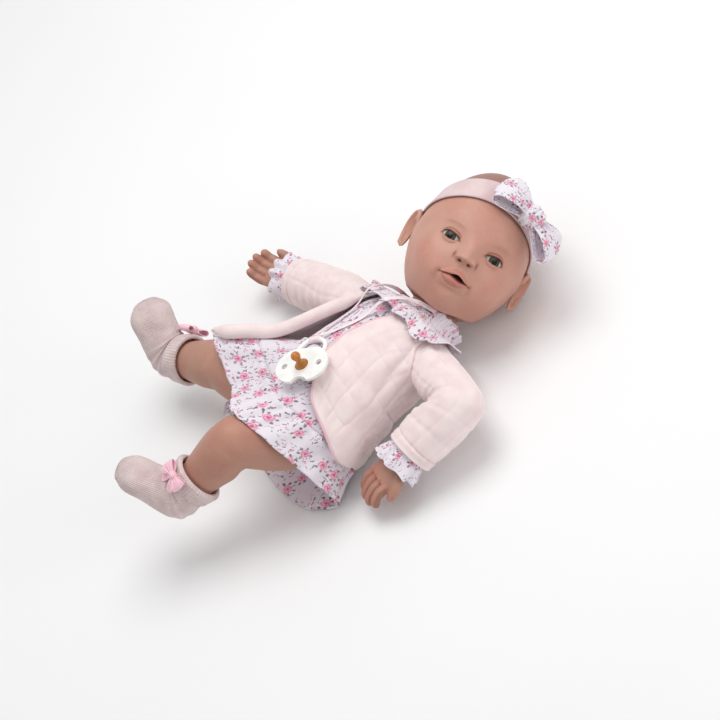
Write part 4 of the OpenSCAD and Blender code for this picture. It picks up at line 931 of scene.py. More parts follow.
def armhole_seam(k):
    """Rolled seam where the jacket meets a sleeve."""
    along, away = distance_from_axis(whole_jacket, shoulders[k], UPPER_ARMS[k])
    e1 = unit(UP - UPPER_ARMS[k] * UPPER_ARMS[k][2])
    e2 = np.cross(UPPER_ARMS[k], e1)
    local = whole_jacket - shoulders[k]
    angle = np.degrees(np.arctan2(local @ e2, local @ e1))
    near = (np.abs(away - SLEEVE_R) < 1.2) & (along > 0) & (along < 45)
    angles, reach = [], []
    for heading in range(-180, 180, 4):
        here = near & (np.abs(angle - heading) < 4)
        if here.any():
            angles.append(math.radians(heading))
            reach.append(np.median(along[here]))
    gaps = np.diff(angles + [angles[0] + 2 * np.pi])
    turn = -(int(np.argmax(gaps)) + 1)
    angles, reach = np.roll(angles, turn), evened(np.roll(reach, turn), 5)
    line = shoulders[k] + UPPER_ARMS[k] * (reach + 1.6)[:, None] + spokes(e1, e2, angles) * (SLEEVE_R + 1.0)
    made = tube(f"armhole_{SIDES[k]}", curve(line, 200), 2.1, 14)
    return wear(made, QUILT, "root", "quilt")


armholes = [armhole_seam(k) for k in (LEFT, RIGHT)]

# Sleeves with their hems, and the ruffles of the dress sleeves
WRIST_R = 9.5
SLEEVE_SHORT = 8.0
CUFF_LEN, CUFF_R = 15.0, 14.3


def loft(stations, rows, cols):
    """Rings of points through stations of middle, heading, side, half width and half height."""
    centre, heading, side, width, height = (
        curve([np.atleast_1d(station[k]) for station in stations], rows) for k in range(5)
    )
    heading = unit(heading)
    e1 = unit(side - heading * (heading * side).sum(axis=1, keepdims=True))
    e2 = np.cross(heading, e1)
    a = whole_turn(cols)
    return centre[:, None] + spokes((e1 * width)[:, None], (e2 * height)[:, None], a)


def sleeve_piece(k):
    s, t1, t2 = shoulders[k], UPPER_ARMS[k], FOREARMS[k]
    rows, cols = 150, 150
    points = loft([
        [s + t1 * CLEARANCE, t1, UP, SLEEVE_R, SLEEVE_R],
        [s + t1 * UPPER_ARM_LEN * 0.5, t1, UP, SLEEVE_R, SLEEVE_R],
        [elbows[k], unit(t1 + t2), UP, SLEEVE_PUFF_R, SLEEVE_PUFF_R],
        [elbows[k] + t2 * FOREARM_LEN * 0.5, t2, UP, SLEEVE_PUFF_R, SLEEVE_PUFF_R],
        [wrists[k] - t2 * SLEEVE_SHORT, t2, UP, SLEEVE_PUFF_R * 0.9, SLEEVE_PUFF_R * 0.9],
    ], rows, cols)
    centre = points.mean(axis=1)
    spoke = unit(points - centre[:, None])
    a = whole_turn(cols)
    t = np.linspace(0, 1, rows)[:, None]
    inner = unit(t2 - t1)
    toward_bend = np.clip((spoke * inner).sum(axis=2), 0, 1)
    creases = np.sin(t * 74 + 2.2 * rough(points, 26, 21 + k))
    creases = creases * bell((t - 0.5) / 0.2) * (0.25 + toward_bend) * 1.1
    length = running(np.linalg.norm(np.diff(centre, axis=0), axis=1))
    sway = rough(points, 28, 23 + k) * 4
    puffed = quilted(a[None, :] * SLEEVE_R, length[:, None], sway)
    rumple = rough(points, 22, 25 + k) + rough(points, 10, 27 + k) * 0.35
    hem = 0.8 * ease((t - 0.905) / 0.01) - 0.7 * bell((t - 0.90) / 0.006) + 0.5 * bell((t - 0.99) / 0.012)
    grow = ease(t / 0.1) * ease((1 - t) / 0.08)
    points = points + spoke * ((creases + puffed * 1.1 + rumple) * grow + hem - 0.2)[..., None]
    keep_above(points, 0.3)
    lip = mix(centre[-1], points[-1], vec(0.97, 0.9, 0.84, 0.79)[:, None, None])
    lip = lip - t2 * vec(0, 0.6, 2.5, 8.0)[:, None, None]
    cap = mix(centre[0], points[0], vec(0.02, 0.5, 0.9)[:, None, None])
    points = np.concatenate([cap, points, lip])
    made = grid_object(f"sleeve_{SIDES[k]}_quilt", points, closed=True, flip=True)
    return wear(made, QUILT, f"{SIDES[k]}_arm", "quilt", f"sleeve_{SIDES[k]}")


def cuff_piece(k):
    t2 = FOREARMS[k]
    start = wrists[k] + t2 * (2 * CLEARANCE - SLEEVE_SHORT)
    side = unit(UP - t2 * t2[2])
    up = np.cross(t2, side)
    a = whole_turn(360)[None, :]
    t = np.linspace(0, 1, 30)[:, None]
    phase = a * 9 + 0.9 * np.sin(a * 4 + k) + 0.6 * np.sin(a * 2)
    r = CUFF_R + mix(0.3, 4.6, t**0.8) + 2.2 * t * np.sin(phase)
    r = r + 0.35 * np.sin(a * 46 + np.sin(a * 6)) * bell((t - 0.12) / 0.2) - 0.5 * bell((t - 0.12) / 0.05)
    points = start + t2 * (CUFF_LEN * t * (1 + 0.05 * np.sin(phase + 1)))[..., None]
    points = points + spokes(side, up, a) * r[..., None]
    keep_above(points, 0.4)
    made = grid_object(f"cuff_ruffle_{SIDES[k]}_cotton", points, closed=True, flip=True)
    thick(made, COTTON_T * 0.7)
    return wear(made, SMALL_COTTON, f"{SIDES[k]}_arm", "floral_cotton", f"cuff_ruffle_{SIDES[k]}")


sleeves = [sleeve_piece(k) for k in (LEFT, RIGHT)]
cuffs = [cuff_piece(k) for k in (LEFT, RIGHT)]

# Head: a skull with soft swellings, sculpted lids, nose, lips and ears
HEAD_W, HEAD_H, HEAD_D = 93.0, 117.0, 111.0
NECK_LEN, NECK_BACK, NECK_R = 9.0, 9.0, 20.0
NECK_DROP = HEAD_H * 0.42
HEAD_PLACE = NECK_PLACE + HEAD_UP * (NECK_LEN + NECK_DROP) + HEAD_FACE * NECK_BACK
BAND_TILT = math.radians(24)
BAND_UP = vec(0, math.cos(BAND_TILT), -math.sin(BAND_TILT))
EYE_R, EYE_ANGLE = 11.0, 21.0
SKIN_TONE = srgb(196, 149, 131)
LIMB_TONE = srgb(178, 134, 116)


def from_head(p):
    p = np.asarray(p, float)
    return HEAD_PLACE + p[..., 0:1] * HEAD_LEFT + p[..., 1:2] * HEAD_UP + p[..., 2:3] * HEAD_FACE


def look(azimuth, rise):
    a, e = np.radians(azimuth), np.radians(rise)
    return np.stack([np.cos(e) * np.sin(a), np.sin(e), np.cos(e) * np.cos(a)], axis=-1)


def skull(d):
    return 1 / np.linalg.norm(d * (2 / vec(HEAD_W, HEAD_H, HEAD_D)), axis=-1)


def swell(d, azimuth, rise, height, spread):
    angle = np.degrees(np.arccos(np.clip(d @ look(azimuth, rise), -1, 1)))
    return height * bell(angle / spread)


# Swellings by heading, rise, height and spread: those of the solid head, then the softer ones seen
CAD_SWELLINGS = [
    (30, -26, 5, 21), (-30, -26, 5, 21), (0, -54, 4.5, 15), (0, -11, 7, 7), (0, 2, 1.5, 8), (0, -27, 3.4, 7),
    (0, -34, 3, 7), (0, 26, 2, 28), (EYE_ANGLE, 1, -4, 10), (-EYE_ANGLE, 1, -4, 10),
    (97, -4, 6, 11), (-97, -4, 6, 11), (180, 12, 3, 45), (0, 80, 11, 40),
]
SOFT_SWELLINGS = [
    (30, -26, 5, 21), (-30, -26, 5, 21), (0, -54, 4.5, 15), (0, 2, 1.2, 9), (0, -29, 3.4, 13),
    (0, 26, 2, 28), (EYE_ANGLE, 1, -3.2, 11), (-EYE_ANGLE, 1, -3.2, 11), (180, 12, 3, 45),
    (22, 15, 1.0, 9), (-22, 15, 1.0, 9), (97, -4, 1.5, 12), (-97, -4, 1.5, 12), (0, 80, 11, 40),
]


def cad_radius(d):
    return skull(d) + sum(swell(d, *s) for s in CAD_SWELLINGS)


def eye_centre(sign):
    d = look(sign * EYE_ANGLE, 1.0)
    return d * (cad_radius(d) - EYE_R + 3)


def eye_surface(d, centre):
    """Distance from the head's middle to the front of an eyeball, far below 0 where a ray misses it."""
    b = d @ centre
    inside = b * b - centre @ centre + EYE_R**2
    return np.where(inside > 0, b + np.sqrt(np.maximum(inside, 0)), -1e3)


LID_W, LID_UP, LID_LOW = 9.2, 3.3, 2.5


def lid_shape(az, el, sign):
    """Place across an eye, height over its middle, and the heights of its two lid edges there."""
    x = (az - sign * EYE_ANGLE) * np.cos(np.radians(el)) * sign
    y = el - 1.0
    s = np.clip(1 - (x / LID_W) ** 2, 0, 1)
    upper = LID_UP * s**0.62 + 0.12 * x * s
    lower = -LID_LOW * s**0.85
    return x, y, upper, lower


MOUTH_W = 14.6


def mouth_lines(az):
    s = np.clip(1 - (az / MOUTH_W) ** 2, 0, 1)
    parting = -23.8 - 2.7 * (az / MOUTH_W) ** 2 + 0.7 * bell(az / 4.0)
    top = parting + 5.8 * s**0.9 * (1 - 0.22 * bell(az / 2.2)) * (1 - 0.3 * (np.abs(az) / MOUTH_W))
    low = np.clip(1 - (az / (MOUTH_W * 0.74)) ** 2, 0, 1)
    bottom = parting - 7.8 * low**0.6
    gap = 1.8 * np.clip(1 - ((az - 2.4) / 7.2) ** 2, 0, 1)
    return parting, top, bottom, gap, s, low


def sculpted(az, el):
    """Points of the head's surface and their paint, by heading and rise in degrees."""
    d = look(az, el)
    r = skull(d) + sum(swell(d, *s) for s in SOFT_SWELLINGS)
    paint = np.broadcast_to(SKIN_TONE, d.shape).copy()
    near = np.abs(az) < 60

    def spot(x, y, wide, high):
        return bell((az - x) / wide) * bell((el - y) / high) * near

    def tone(share, colour):
        nonlocal paint
        paint = mix(paint, colour, np.clip(share, 0, 1)[..., None])

    # Nose
    drop = np.where(el < -8.6, 3.0, 6.5)
    r = r + 9.4 * bell(az / 5.4) * bell((el + 8.6) / drop) * near
    r = r + 1.8 * spot(0, 0.5, 5.0, 6.0)
    for sign in (-1, 1):
        wing = np.where(el < -9.6, 2.4, 3.4)
        r = r + 5.4 * bell((az - sign * 6.4) / 2.6) * bell((el + 9.6) / wing) * near
        r = r - 2.0 * spot(sign * 9.6, -9.8, 1.2, 2.8)
        r = r - 3.4 * spot(sign * 4.0, -12.0, 1.7, 1.0)
        # Painted shade: the nostril hollows and the grooves beside the wings are darkened.
        tone(0.85 * spot(sign * 4.0, -12.1, 1.6, 0.9), srgb(84, 42, 34))
        tone(0.6 * spot(sign * 9.6, -10.0, 1.0, 2.6), srgb(132, 78, 62))
    r = r - 0.7 * spot(0, -15.6, 1.7, 2.2)

    # Lips
    parting, top, bottom, gap, s, low = mouth_lines(az)
    up_share = np.clip((el - parting) / np.maximum(top - parting, 1e-3), 0, 1)
    low_share = np.clip((parting - el) / np.maximum(parting - bottom, 1e-3), 0, 1)
    in_mouth = (np.abs(az) < MOUTH_W) & (el < top) & (el > bottom)
    upper_lip = np.where(el >= parting, np.sin(np.pi * up_share**0.7) ** 0.8, 0) * s**0.5
    lower_lip = np.where(el < parting, np.sin(np.pi * low_share**0.75) ** 0.8, 0) * low**0.5
    r = r + np.where(in_mouth, 3.0 * upper_lip + 4.0 * lower_lip, 0)
    open_by = np.where(gap > 0.02, np.abs(el - parting + 0.3) / np.maximum(gap, 0.02), 9)
    r = r - 5.0 * ease((1.25 - open_by) / 0.5)
    r = r - 0.9 * bell((el - parting) / 0.55) * (np.abs(az) < MOUTH_W - 0.4)
    for sign in (-1, 1):
        r = r - 1.5 * spot(sign * (MOUTH_W + 0.2), -26.8, 1.6, 2.0)
        r = r + 1.3 * spot(sign * (MOUTH_W + 5.0), -27.5, 4.0, 6.0)
        fold_az = sign * (MOUTH_W + 0.8 + 0.15 * (el + 30))
        r = r - 0.9 * bell((az - fold_az) / 1.8) * bell((el + 31) / 4.0) * near
    r = r - 1.9 * spot(0, -35.6, 9.5, 2.4)
    r = r + 1.2 * spot(0, -43.5, 8.0, 5.0)
    edge = np.minimum((top - el) / 0.9, (el - bottom) / 0.9)
    tone(np.where(np.abs(az) < MOUTH_W, 0.72 * ease(edge), 0), srgb(186, 121, 107))
    # Painted shade: a dark line along the groove where the lips part.
    tone(0.6 * bell((el - parting) / 0.8) * (np.abs(az) < MOUTH_W + 0.4), srgb(116, 58, 48))
    # Painted shade: the opening between the lips is painted dark, standing in for the shade inside the mouth.
    tone(ease((1.2 - open_by) / 0.4), srgb(66, 26, 22))

    # Cheeks, brows and shading of the lids
    for sign in (-1, 1):
        tone(0.24 * spot(sign * 31, -18, 17, 13), srgb(206, 128, 116))
        x, y, upper, lower = lid_shape(az, el, sign)
        brow = bell((y - 12.2 + 0.018 * (x - 2) ** 2) / 1.5) * ease((x + 11) / 6) * ease((13 - x) / 5)
        tone(0.16 * brow * near, srgb(150, 104, 84))
        r = r + 0.4 * brow * near
        close = (np.abs(x) < 22) & (np.abs(y) < 16)
        ball = eye_surface(d, eye_centre(sign))
        lid = ball + 0.9
        soft_lid = np.where(close, np.maximum(r, lid) + 0.35 * bell((r - lid) / 1.2), r)
        opened = close & (np.abs(x) < LID_W) & (y < upper) & (y > lower)
        crease = bell((y - upper - 2.7 + 0.012 * x * x) / 0.75) * ease((11.5 - np.abs(x - 0.5)) / 4)
        bag = bell((y - lower + 3.2 - 0.02 * x * x) / 0.9) * ease((9 - np.abs(x + 1)) / 4)
        soft_lid = soft_lid - np.where(close, 0.85 * crease + 0.45 * bag, 0)
        r = np.where(opened, ball - 2.4, soft_lid)
        # Painted shade: the upper-lid crease and the groove under the eye are darkened.
        tone(np.where(close, 0.55 * crease + 0.16 * bag, 0), srgb(152, 90, 72))
        lid_shade = bell((y - upper - 1.2) / 1.6) * ease((10 - np.abs(x)) / 3)
        tone(np.where(close, 0.40 * lid_shade, 0), srgb(178, 116, 98))
        # Painted shade: dark brown at the inner and outer corners of each eye.
        corner = bell((np.abs(x) - LID_W) / 1.4) * bell((y + 0.2) / 1.2)
        tone(np.where(close, 0.6 * corner, 0), srgb(104, 60, 48))
        lash = ease((1.5 - (y - upper)) / 0.7) * (y >= upper - 0.1) * (np.abs(x) < LID_W)
        tone(np.where(close, 0.92 * lash * ease((LID_W + 0.3 - np.abs(x)) / 1.5), 0), srgb(48, 29, 24))
        low_rim = ease((0.5 - (lower - y)) / 0.35) * (y <= lower + 0.1) * (np.abs(x) < LID_W)
        tone(np.where(close, 0.6 * low_rim, 0), srgb(120, 70, 60))

    # Painted hair over the crown, with its edge under the band
    over_band = r * (d @ BAND_UP)
    grain = rough(d * r[..., None], 3.0, 31) * 0.5 + rough(d * r[..., None], 9.0, 32)
    tone(0.80 * ease((over_band - 13.0 + 0.6 * grain) / 1.6), srgb(150, 112, 100))
    tone(0.35 * ease((over_band - 16) / 8), srgb(138, 104, 98))
    return d * r[..., None], paint


azimuths = np.linspace(-180, 180, 520, endpoint=False)
azimuths = azimuths - 38 * sin_deg(azimuths)
rises = [np.linspace(-57, -46, 16), np.arange(-45.7, 16, 0.28), np.linspace(16.4, 89.9, 100)]
head_points, head_paint = sculpted(*np.meshgrid(azimuths, np.concatenate(rises)))
neck_rim = NECK_R * spokes(vec(0, 0, 1), vec(1, 0, 0), np.radians(azimuths))
neck_rim = neck_rim - vec(0, NECK_DROP, NECK_BACK)
CHIN_ROWS = 8
under_chin = mix(neck_rim, head_points[0], np.linspace(0, 1, CHIN_ROWS, endpoint=False)[:, None, None])
head_points = np.concatenate([under_chin, head_points])
head_paint = np.concatenate([np.repeat(head_paint[:1], CHIN_ROWS, axis=0), head_paint])
head = grid_object("head_vinyl", from_head(head_points), closed=True, flip=True, tint=head_paint)
wear(head, SKIN, "head", "skin", "head")


def ear_piece(sign):
    """A thin ear with a rolled rim, a bowl and a lobe."""
    rows, cols = 40, 120
    rho = np.linspace(0, 1, rows)[:, None]
    theta = whole_turn(cols)[None, :]
    high = 17.0 * np.sin(theta)
    wide = np.where(np.cos(theta) > 0, 10.5, 6.5) * np.cos(theta) * (1 + 0.12 * np.sin(theta))
    rim = bell((rho - 0.86) / 0.10) * ease((np.cos(theta - 0.5) + 0.75) / 0.5)
    inner_fold = bell((rho - 0.52) / 0.10) * ease((np.cos(theta) + 0.2) / 0.5)
    inner_fold = inner_fold * ease((np.sin(theta) + 0.75) / 0.5)
    bowl = bell(rho / 0.42)
    lobe = bell((rho - 0.75) / 0.25) * bell((theta - 1.5 * np.pi) / 0.5)
    height = 2.6 * rim + 1.8 * inner_fold - 3.2 * bowl + 1.5 * lobe
    back, up, out = vec(0, 0.1, -1), vec(0, 1, 0.1), vec(sign, 0, 0)
    hinge = look(sign * 93, -5.5)
    hinge = hinge * (skull(hinge) + 0.5)
    x = wide * rho
    stand = 0.34 * (x + 6.5) + 0.4
    thickness = 2.4 * np.sqrt(np.clip(1 - rho**4, 0, 1))
    middle = hinge + back * (x + 3.0)[..., None] + out * stand[..., None]
    top = middle + up * (high * rho)[..., None] + out * height[..., None]
    under = middle + up * (high * rho * 0.97)[..., None] - out * thickness[..., None]
    points = np.concatenate([top, under[::-1]])
    # Painted shade: darker in the bowl and in the groove inside the rim.
    fold = np.clip(0.8 * bowl + 0.6 * bell((rho - 0.7) / 0.07) + 0 * theta, 0, 1)
    paint = mix(SKIN_TONE, srgb(166, 106, 86), fold[..., None])
    paint = np.concatenate([paint, paint[::-1]])
    name = f"ear_{SIDES[sign < 0]}_vinyl"
    made = grid_object(name, from_head(points), closed=True, flip=sign > 0, tint=paint)
    wear(made, SKIN, "head", "skin")


def eye_material(name, centre, side, up, gaze):
    """Moulded eye: white, grey-green iris with spokes and a dark rim, and a pupil."""
    p = SurfacePaint(name)
    place = p.millimetres()
    out = p.vector("NORMALIZE", p.vector("SUBTRACT", place, centre))
    x, y, z = (p.vector("DOT_PRODUCT", out, axis) for axis in (side, up, gaze))
    r = p.calc("ARCCOSINE", z)
    angle = p.calc("ARCTAN2", y, x)
    polar = p.node("CombineXYZ", {0: p.mul(angle, 4.0), 1: p.mul(r, 3.0)}).outputs[0]
    iris = p.blend(p.step(p.noise(polar, 2.2), 0.35, 0.7), srgb(46, 52, 44), srgb(84, 90, 74))
    iris = p.blend(p.step(r, 0.20, 0.36), srgb(74, 60, 40), iris)
    iris = p.blend(p.step(r, 0.36, 0.43), iris, srgb(20, 20, 18))
    white = p.blend(p.step(p.noise(place, 0.3), 0.4, 0.8), srgb(196, 184, 176), srgb(172, 152, 144))
    paint = p.blend(p.step(r, 0.42, 0.47), iris, white)
    paint = p.blend(p.step(r, 0.23, 0.19), paint, srgb(8, 7, 7))
    # Painted shadow of the upper lid: the top of the eyeball is darkened.
    paint = p.blend(p.mul(p.step(y, 0.02, 0.30), 0.75), paint, srgb(40, 28, 24))
    return p.finish(paint, 0.08, 0.22)


def eye_piece(sign):
    centre = from_head(eye_centre(sign))
    gaze = unit(HEAD_FACE * 0.92 + HEAD_LEFT * sign * 0.39)
    side = unit(np.cross(HEAD_UP, gaze))
    up = np.cross(gaze, side)
    theta = np.linspace(0, np.pi, 90)[:, None]
    phi = whole_turn(120)[None, :]
    r = EYE_R * (1 + 0.02 * bell(theta / 0.38))
    points = centre + gaze * (r * np.cos(theta))[..., None]
    points = points + spokes(side, up, phi) * (r * np.sin(theta))[..., None]
    name = SIDES[sign < 0]
    made = grid_object(f"eye_{name}_glass", points, closed=True)
    paint = eye_material(f"eye_{name}_paint", centre, side, up, gaze)
    wear(made, paint, "head", "eye", f"eye_{name}")


for make in (ear_piece, eye_piece):
    for sign in (1, -1):
        make(sign)

# Headband and its bow
BAND_LOW, BAND_W, BAND_T = 14.0, 17.0, 2.0


def head_radius(d):
    az = np.degrees(np.arctan2(d[..., 0], d[..., 2]))
    el = np.degrees(np.arcsin(np.clip(d[..., 1], -1, 1)))
    return np.linalg.norm(sculpted(az, el)[0], axis=-1)


band_angle = whole_turn(300)[None, :]
share = np.linspace(0, 1, 34)[:, None]
rise = np.arcsin((BAND_LOW + BAND_W * share + 0.5 * np.sin(3 * band_angle)) / (HEAD_D / 2))
band_fore = vec(0, math.sin(BAND_TILT), math.cos(BAND_TILT))
flat = spokes(band_fore, vec(1, 0, 0), band_angle)
band_dir = unit(flat * np.cos(rise)[..., None] + BAND_UP * np.sin(rise)[..., None])
band_off = CLEARANCE + 0.5 * bell((share - 0.03) / 0.05) + 0.5 * bell((share - 0.97) / 0.05)
band_points = band_dir * (head_radius(band_dir) + band_off)[..., None]
band_points = from_head(band_points + band_dir * (rough(band_points, 16, 41) * 0.2)[..., None])
band = grid_object("headband_knit", band_points, closed=True, flip=True)
thick(band, BAND_T * 0.75)
wear(band, BAND, "head", "knit", "headband")


def bow_parts(name, place, out, long, loop_len, loop_h, loop_d, knot_r, cloth, tails=0.0, bend=0.0):
    """Two open loops of cloth gathered into a knot, with tails if it has any."""
    side = np.cross(out, long)
    parts = []
    s = np.linspace(-1, 1, 80)[:, None]
    w = np.linspace(-1, 1, 60)[None, :]
    for way in (-1, 1):
        phi = np.pi * s
        x = loop_len * (1 + np.cos(phi)) / 2
        y = loop_d * 0.5 * np.sin(phi) * (0.35 + 0.65 * x / loop_len)
        spread = mix(knot_r * 0.75, loop_h * 0.5, ease(x / loop_len * 1.15))
        gather = ease(1 - x / loop_len * 1.1)
        pleats = np.cos(w * np.pi * 3.5 + 0.4 * way) * gather * loop_d * 0.09
        bulge = -np.abs(w) ** 2.2 * loop_len * 0.10 * x / loop_len
        points = place + long * (way * (x + bulge + knot_r * 0.25))[..., None]
        points = points + side * (spread * w)[..., None]
        points = points + out * (y * (1 - 0.18 * w**2) + pleats - bend * (x / loop_len) ** 2)[..., None]
        points = points + side * (rough(points, loop_h * 0.6, 51) * loop_h * 0.03)[..., None]
        points = points + out * (rough(points, loop_h * 0.45, 52) * loop_d * 0.05)[..., None]
        parts.append(grid_object(f"{name}_loop_{'b' if way > 0 else 'a'}", points, flip=way > 0))
    theta = whole_turn(80)[None, :]
    q = np.linspace(-1, 1, 40)[:, None]
    wrap = (1 - 0.25 * q**4) * (1 + 0.06 * np.cos(q * 11))
    points = place + long * (q * knot_r * 0.95)[..., None]
    points = points + spokes(side * knot_r * 0.95, out * loop_d * 0.55, theta) * wrap[..., None]
    parts.append(grid_object(f"{name}_knot", points, closed=True, flip=True, ends=True))
    for way in (-1, 1) if tails else ():
        t = np.linspace(0, 1, 40)[:, None]
        fan = unit(side * 0.9 + long * 0.55 * way)
        points = place + fan * (t * tails)[..., None] - out * (loop_d * 0.25 * ease(t))[..., None]
        points = points + np.cross(out, fan) * (w * mix(knot_r * 0.5, loop_h * 0.24, t))[..., None]
        points = points + out * (np.sin(t * 5 + way) * loop_d * 0.12)[..., None]
        parts.append(grid_object(f"{name}_tail_{'b' if way > 0 else 'a'}", points))
    for part in parts[:2] + parts[3:]:
        thick(part, 0.6, 0)
    for part in parts:
        part.data.materials.append(cloth)
    return parts


def numbers(data, key, size):
    """A mesh's own numbers, so many to each of its elements."""
    values = np.zeros(len(data) * size)
    data.foreach_get(key, values)
    return values.reshape(-1, size)


def joined(name, parts):
    """One piece from several, with their thickness made real."""
    graph = bpy.context.evaluated_depsgraph_get()
    meshes = [bpy.data.meshes.new_from_object(p.evaluated_get(graph)) for p in parts]
    verts, faces, uvs, base = [], [], [], 0
    for mesh in meshes:
        verts.append(numbers(mesh.vertices, "co", 3) / MM)
        faces += [[base + k for k in polygon.vertices] for polygon in mesh.polygons]
        uvs.append(numbers(mesh.uv_layers["flat"].data, "uv", 2))
        base += len(mesh.vertices)
    for part in parts:
        bpy.data.objects.remove(part)
    for mesh in meshes:
        bpy.data.meshes.remove(mesh)
    return finish_mesh(name, np.concatenate(verts), faces, np.concatenate(uvs))


BOW_LOOK = look(28, 38)
HAIR_BOW_W = 30
bow_out = unit(HEAD_LEFT * BOW_LOOK[0] + HEAD_UP * BOW_LOOK[1] + HEAD_FACE * BOW_LOOK[2])
bow_long = HEAD_LEFT - HEAD_UP * 0.25
bow_long = unit(bow_long - bow_out * (bow_long @ bow_out))
bow_place = from_head(BOW_LOOK * (cad_radius(BOW_LOOK) + BAND_T + 2 * CLEARANCE + 11))
hair_bow = joined("hair_bow_cotton", bow_parts(
    "bow", bow_place, bow_out, bow_long, loop_len=33, loop_h=HAIR_BOW_W, loop_d=20, knot_r=8,
    cloth=SMALL_COTTON, bend=6.0))
wear(hair_bow, SMALL_COTTON, "head", "floral_cotton", "hair_bow")

# Arms: vinyl hands with separate fingers, the rest inside the sleeves
PALM_W, PALM_T, PALM_LEN = 28.0, 15.0, 23.0
FINGER_LEN, FINGER_R = 19.0, 4.0


def fused(name, parts, voxel, smooth):
    """Vertices and faces of closed lofts joined into one smooth skin."""
    merged = joined(name + "_parts", parts)
    skin = merged.modifiers.new("skin", "REMESH")
    skin.mode = "VOXEL"
    skin.voxel_size = voxel * MM
    even = merged.modifiers.new("even", "SMOOTH")
    even.iterations = smooth
    even.factor = 0.5
    graph = bpy.context.evaluated_depsgraph_get()
    mesh = bpy.data.meshes.new_from_object(merged.evaluated_get(graph))
    verts = numbers(mesh.vertices, "co", 3) / MM
    faces = [list(polygon.vertices) for polygon in mesh.polygons]
    bpy.data.objects.remove(merged)
    bpy.data.meshes.remove(mesh)
    return verts, faces


# Along a finger and into its curl, in shares of its length; its lean, width and height
FINGER_STATIONS = [
    (0, 0, 0, 1, 1), (0.42, 0, 0.12, 0.94, 0.96), (0.62, 0.03, 0.3, 1.02, 1), (0.9, 0.15, 0.7, 0.9, 0.92),
    (1.07, 0.33, 1, 0.94, 0.94), (1.16, 0.5, 1 / 0.5, 0.76, 0.78), (1.19, 0.6, 1 / 0.3, 0.4, 0.4),
]
# Along, out of and into the palm in millimetres; the thumb's lean and thickness
THUMB_STATIONS = [(0, 0, 0, 1, 1.25), (8, 7, 2, 0.6, 1.1), (14, 7.8, 4.4, 0.2, 0.95), (18, 8, 6, 0, 0.5)]
FINGER_PITCH = FINGER_R * 1.75


def arm_piece(k):
    s, t1, t2, t3, elbow, wrist = shoulders[k], UPPER_ARMS[k], FOREARMS[k], HANDS[k], elbows[k], wrists[k]
    curl = UP * (-1 if k == LEFT else 1)
    across = np.cross(t3, UP)
    thumb = across * (-1 if k == LEFT else 1)
    lofts = [loft([
        [s + t1 * CLEARANCE, t1, UP, ARM_R, ARM_R],
        [s + t1 * UPPER_ARM_LEN * 0.5, t1, UP, ARM_R, ARM_R],
        [elbow, unit(t1 + t2), UP, ARM_R * 0.96, ARM_R * 0.96],
        [elbow + t2 * FOREARM_LEN * 0.45, t2, UP, ARM_R * 0.94, ARM_R * 0.94],
        [wrist, unit(t2 + t3), UP, WRIST_R, WRIST_R],
        [wrist + t3 * PALM_LEN * 0.55, t3, UP, PALM_T / 2, PALM_W / 2],
        [wrist + t3 * PALM_LEN, t3, UP, PALM_T * 0.42, PALM_W * 0.46],
    ], 90, 48)]
    for f in (-1.5, -0.5, 0.5, 1.5):
        root = wrist + t3 * (PALM_LEN - 5) + across * f * FINGER_PITCH
        size = FINGER_LEN * (1 - 0.07 * f * f)
        lofts.append(loft([
            [root + (t3 * far + curl * into) * size + across * f * 0.3 * (far > 0),
             unit(t3 + curl * lean), curl, FINGER_R * wide, FINGER_R * high]
            for far, into, lean, wide, high in FINGER_STATIONS
        ], 50, 24))
    base = wrist + t3 * PALM_LEN * 0.35 + thumb * PALM_W * 0.34
    lofts.append(loft([
        [base + t3 * far + thumb * out + curl * into, unit(t3 + thumb * lean), curl,
         FINGER_R * size, FINGER_R * size]
        for far, out, into, lean, size in THUMB_STATIONS
    ], 40, 24))
    parts = [grid_object(f"loft_{n}", p, closed=True, flip=True, ends=True) for n, p in enumerate(lofts)]
    verts, faces = fused(f"arm_{SIDES[k]}", parts, voxel=0.62, smooth=4)
    local = verts - wrist
    along, wide = local @ t3, local @ across
    knuckle = bell((along - PALM_LEN - 1) / 3.5) + bell((along - PALM_LEN - FINGER_LEN * 0.62) / 3)
    tips = ease((along - PALM_LEN - 12) / 8)
    paint = np.broadcast_to(LIMB_TONE, verts.shape).copy()
    paint = mix(paint, srgb(196, 128, 108), np.clip(0.35 * knuckle + 0.4 * tips, 0, 0.7)[:, None])
    # Painted shade: darker between the fingers.
    gap = wide / FINGER_PITCH % 1
    between = (bell(gap / 0.12) + bell((gap - 1) / 0.12)) * ease((along - PALM_LEN + 3) / 4)
    paint = mix(paint, srgb(124, 80, 64), np.clip(0.55 * between, 0, 1)[:, None])
    made = finish_mesh(f"arm_{SIDES[k]}_vinyl", verts, faces, tint=paint)
    wear(made, SKIN, f"{SIDES[k]}_arm", "skin", f"arm_{SIDES[k]}")


for k in (LEFT, RIGHT):
    arm_piece(k)

# Legs, socks and sock bows
FOOT_LEN, FOOT_W = 46.0, 32.0
KNIT_T = 2.0
SOCK_IN = 2 * CLEARANCE
SOCK_CUFF_LEN = 14.0
SOCK_TOE = 1.16
SOCK_BOW_W, SOCK_BOW_D = 12, 6
CALF_SHARE = 0.45


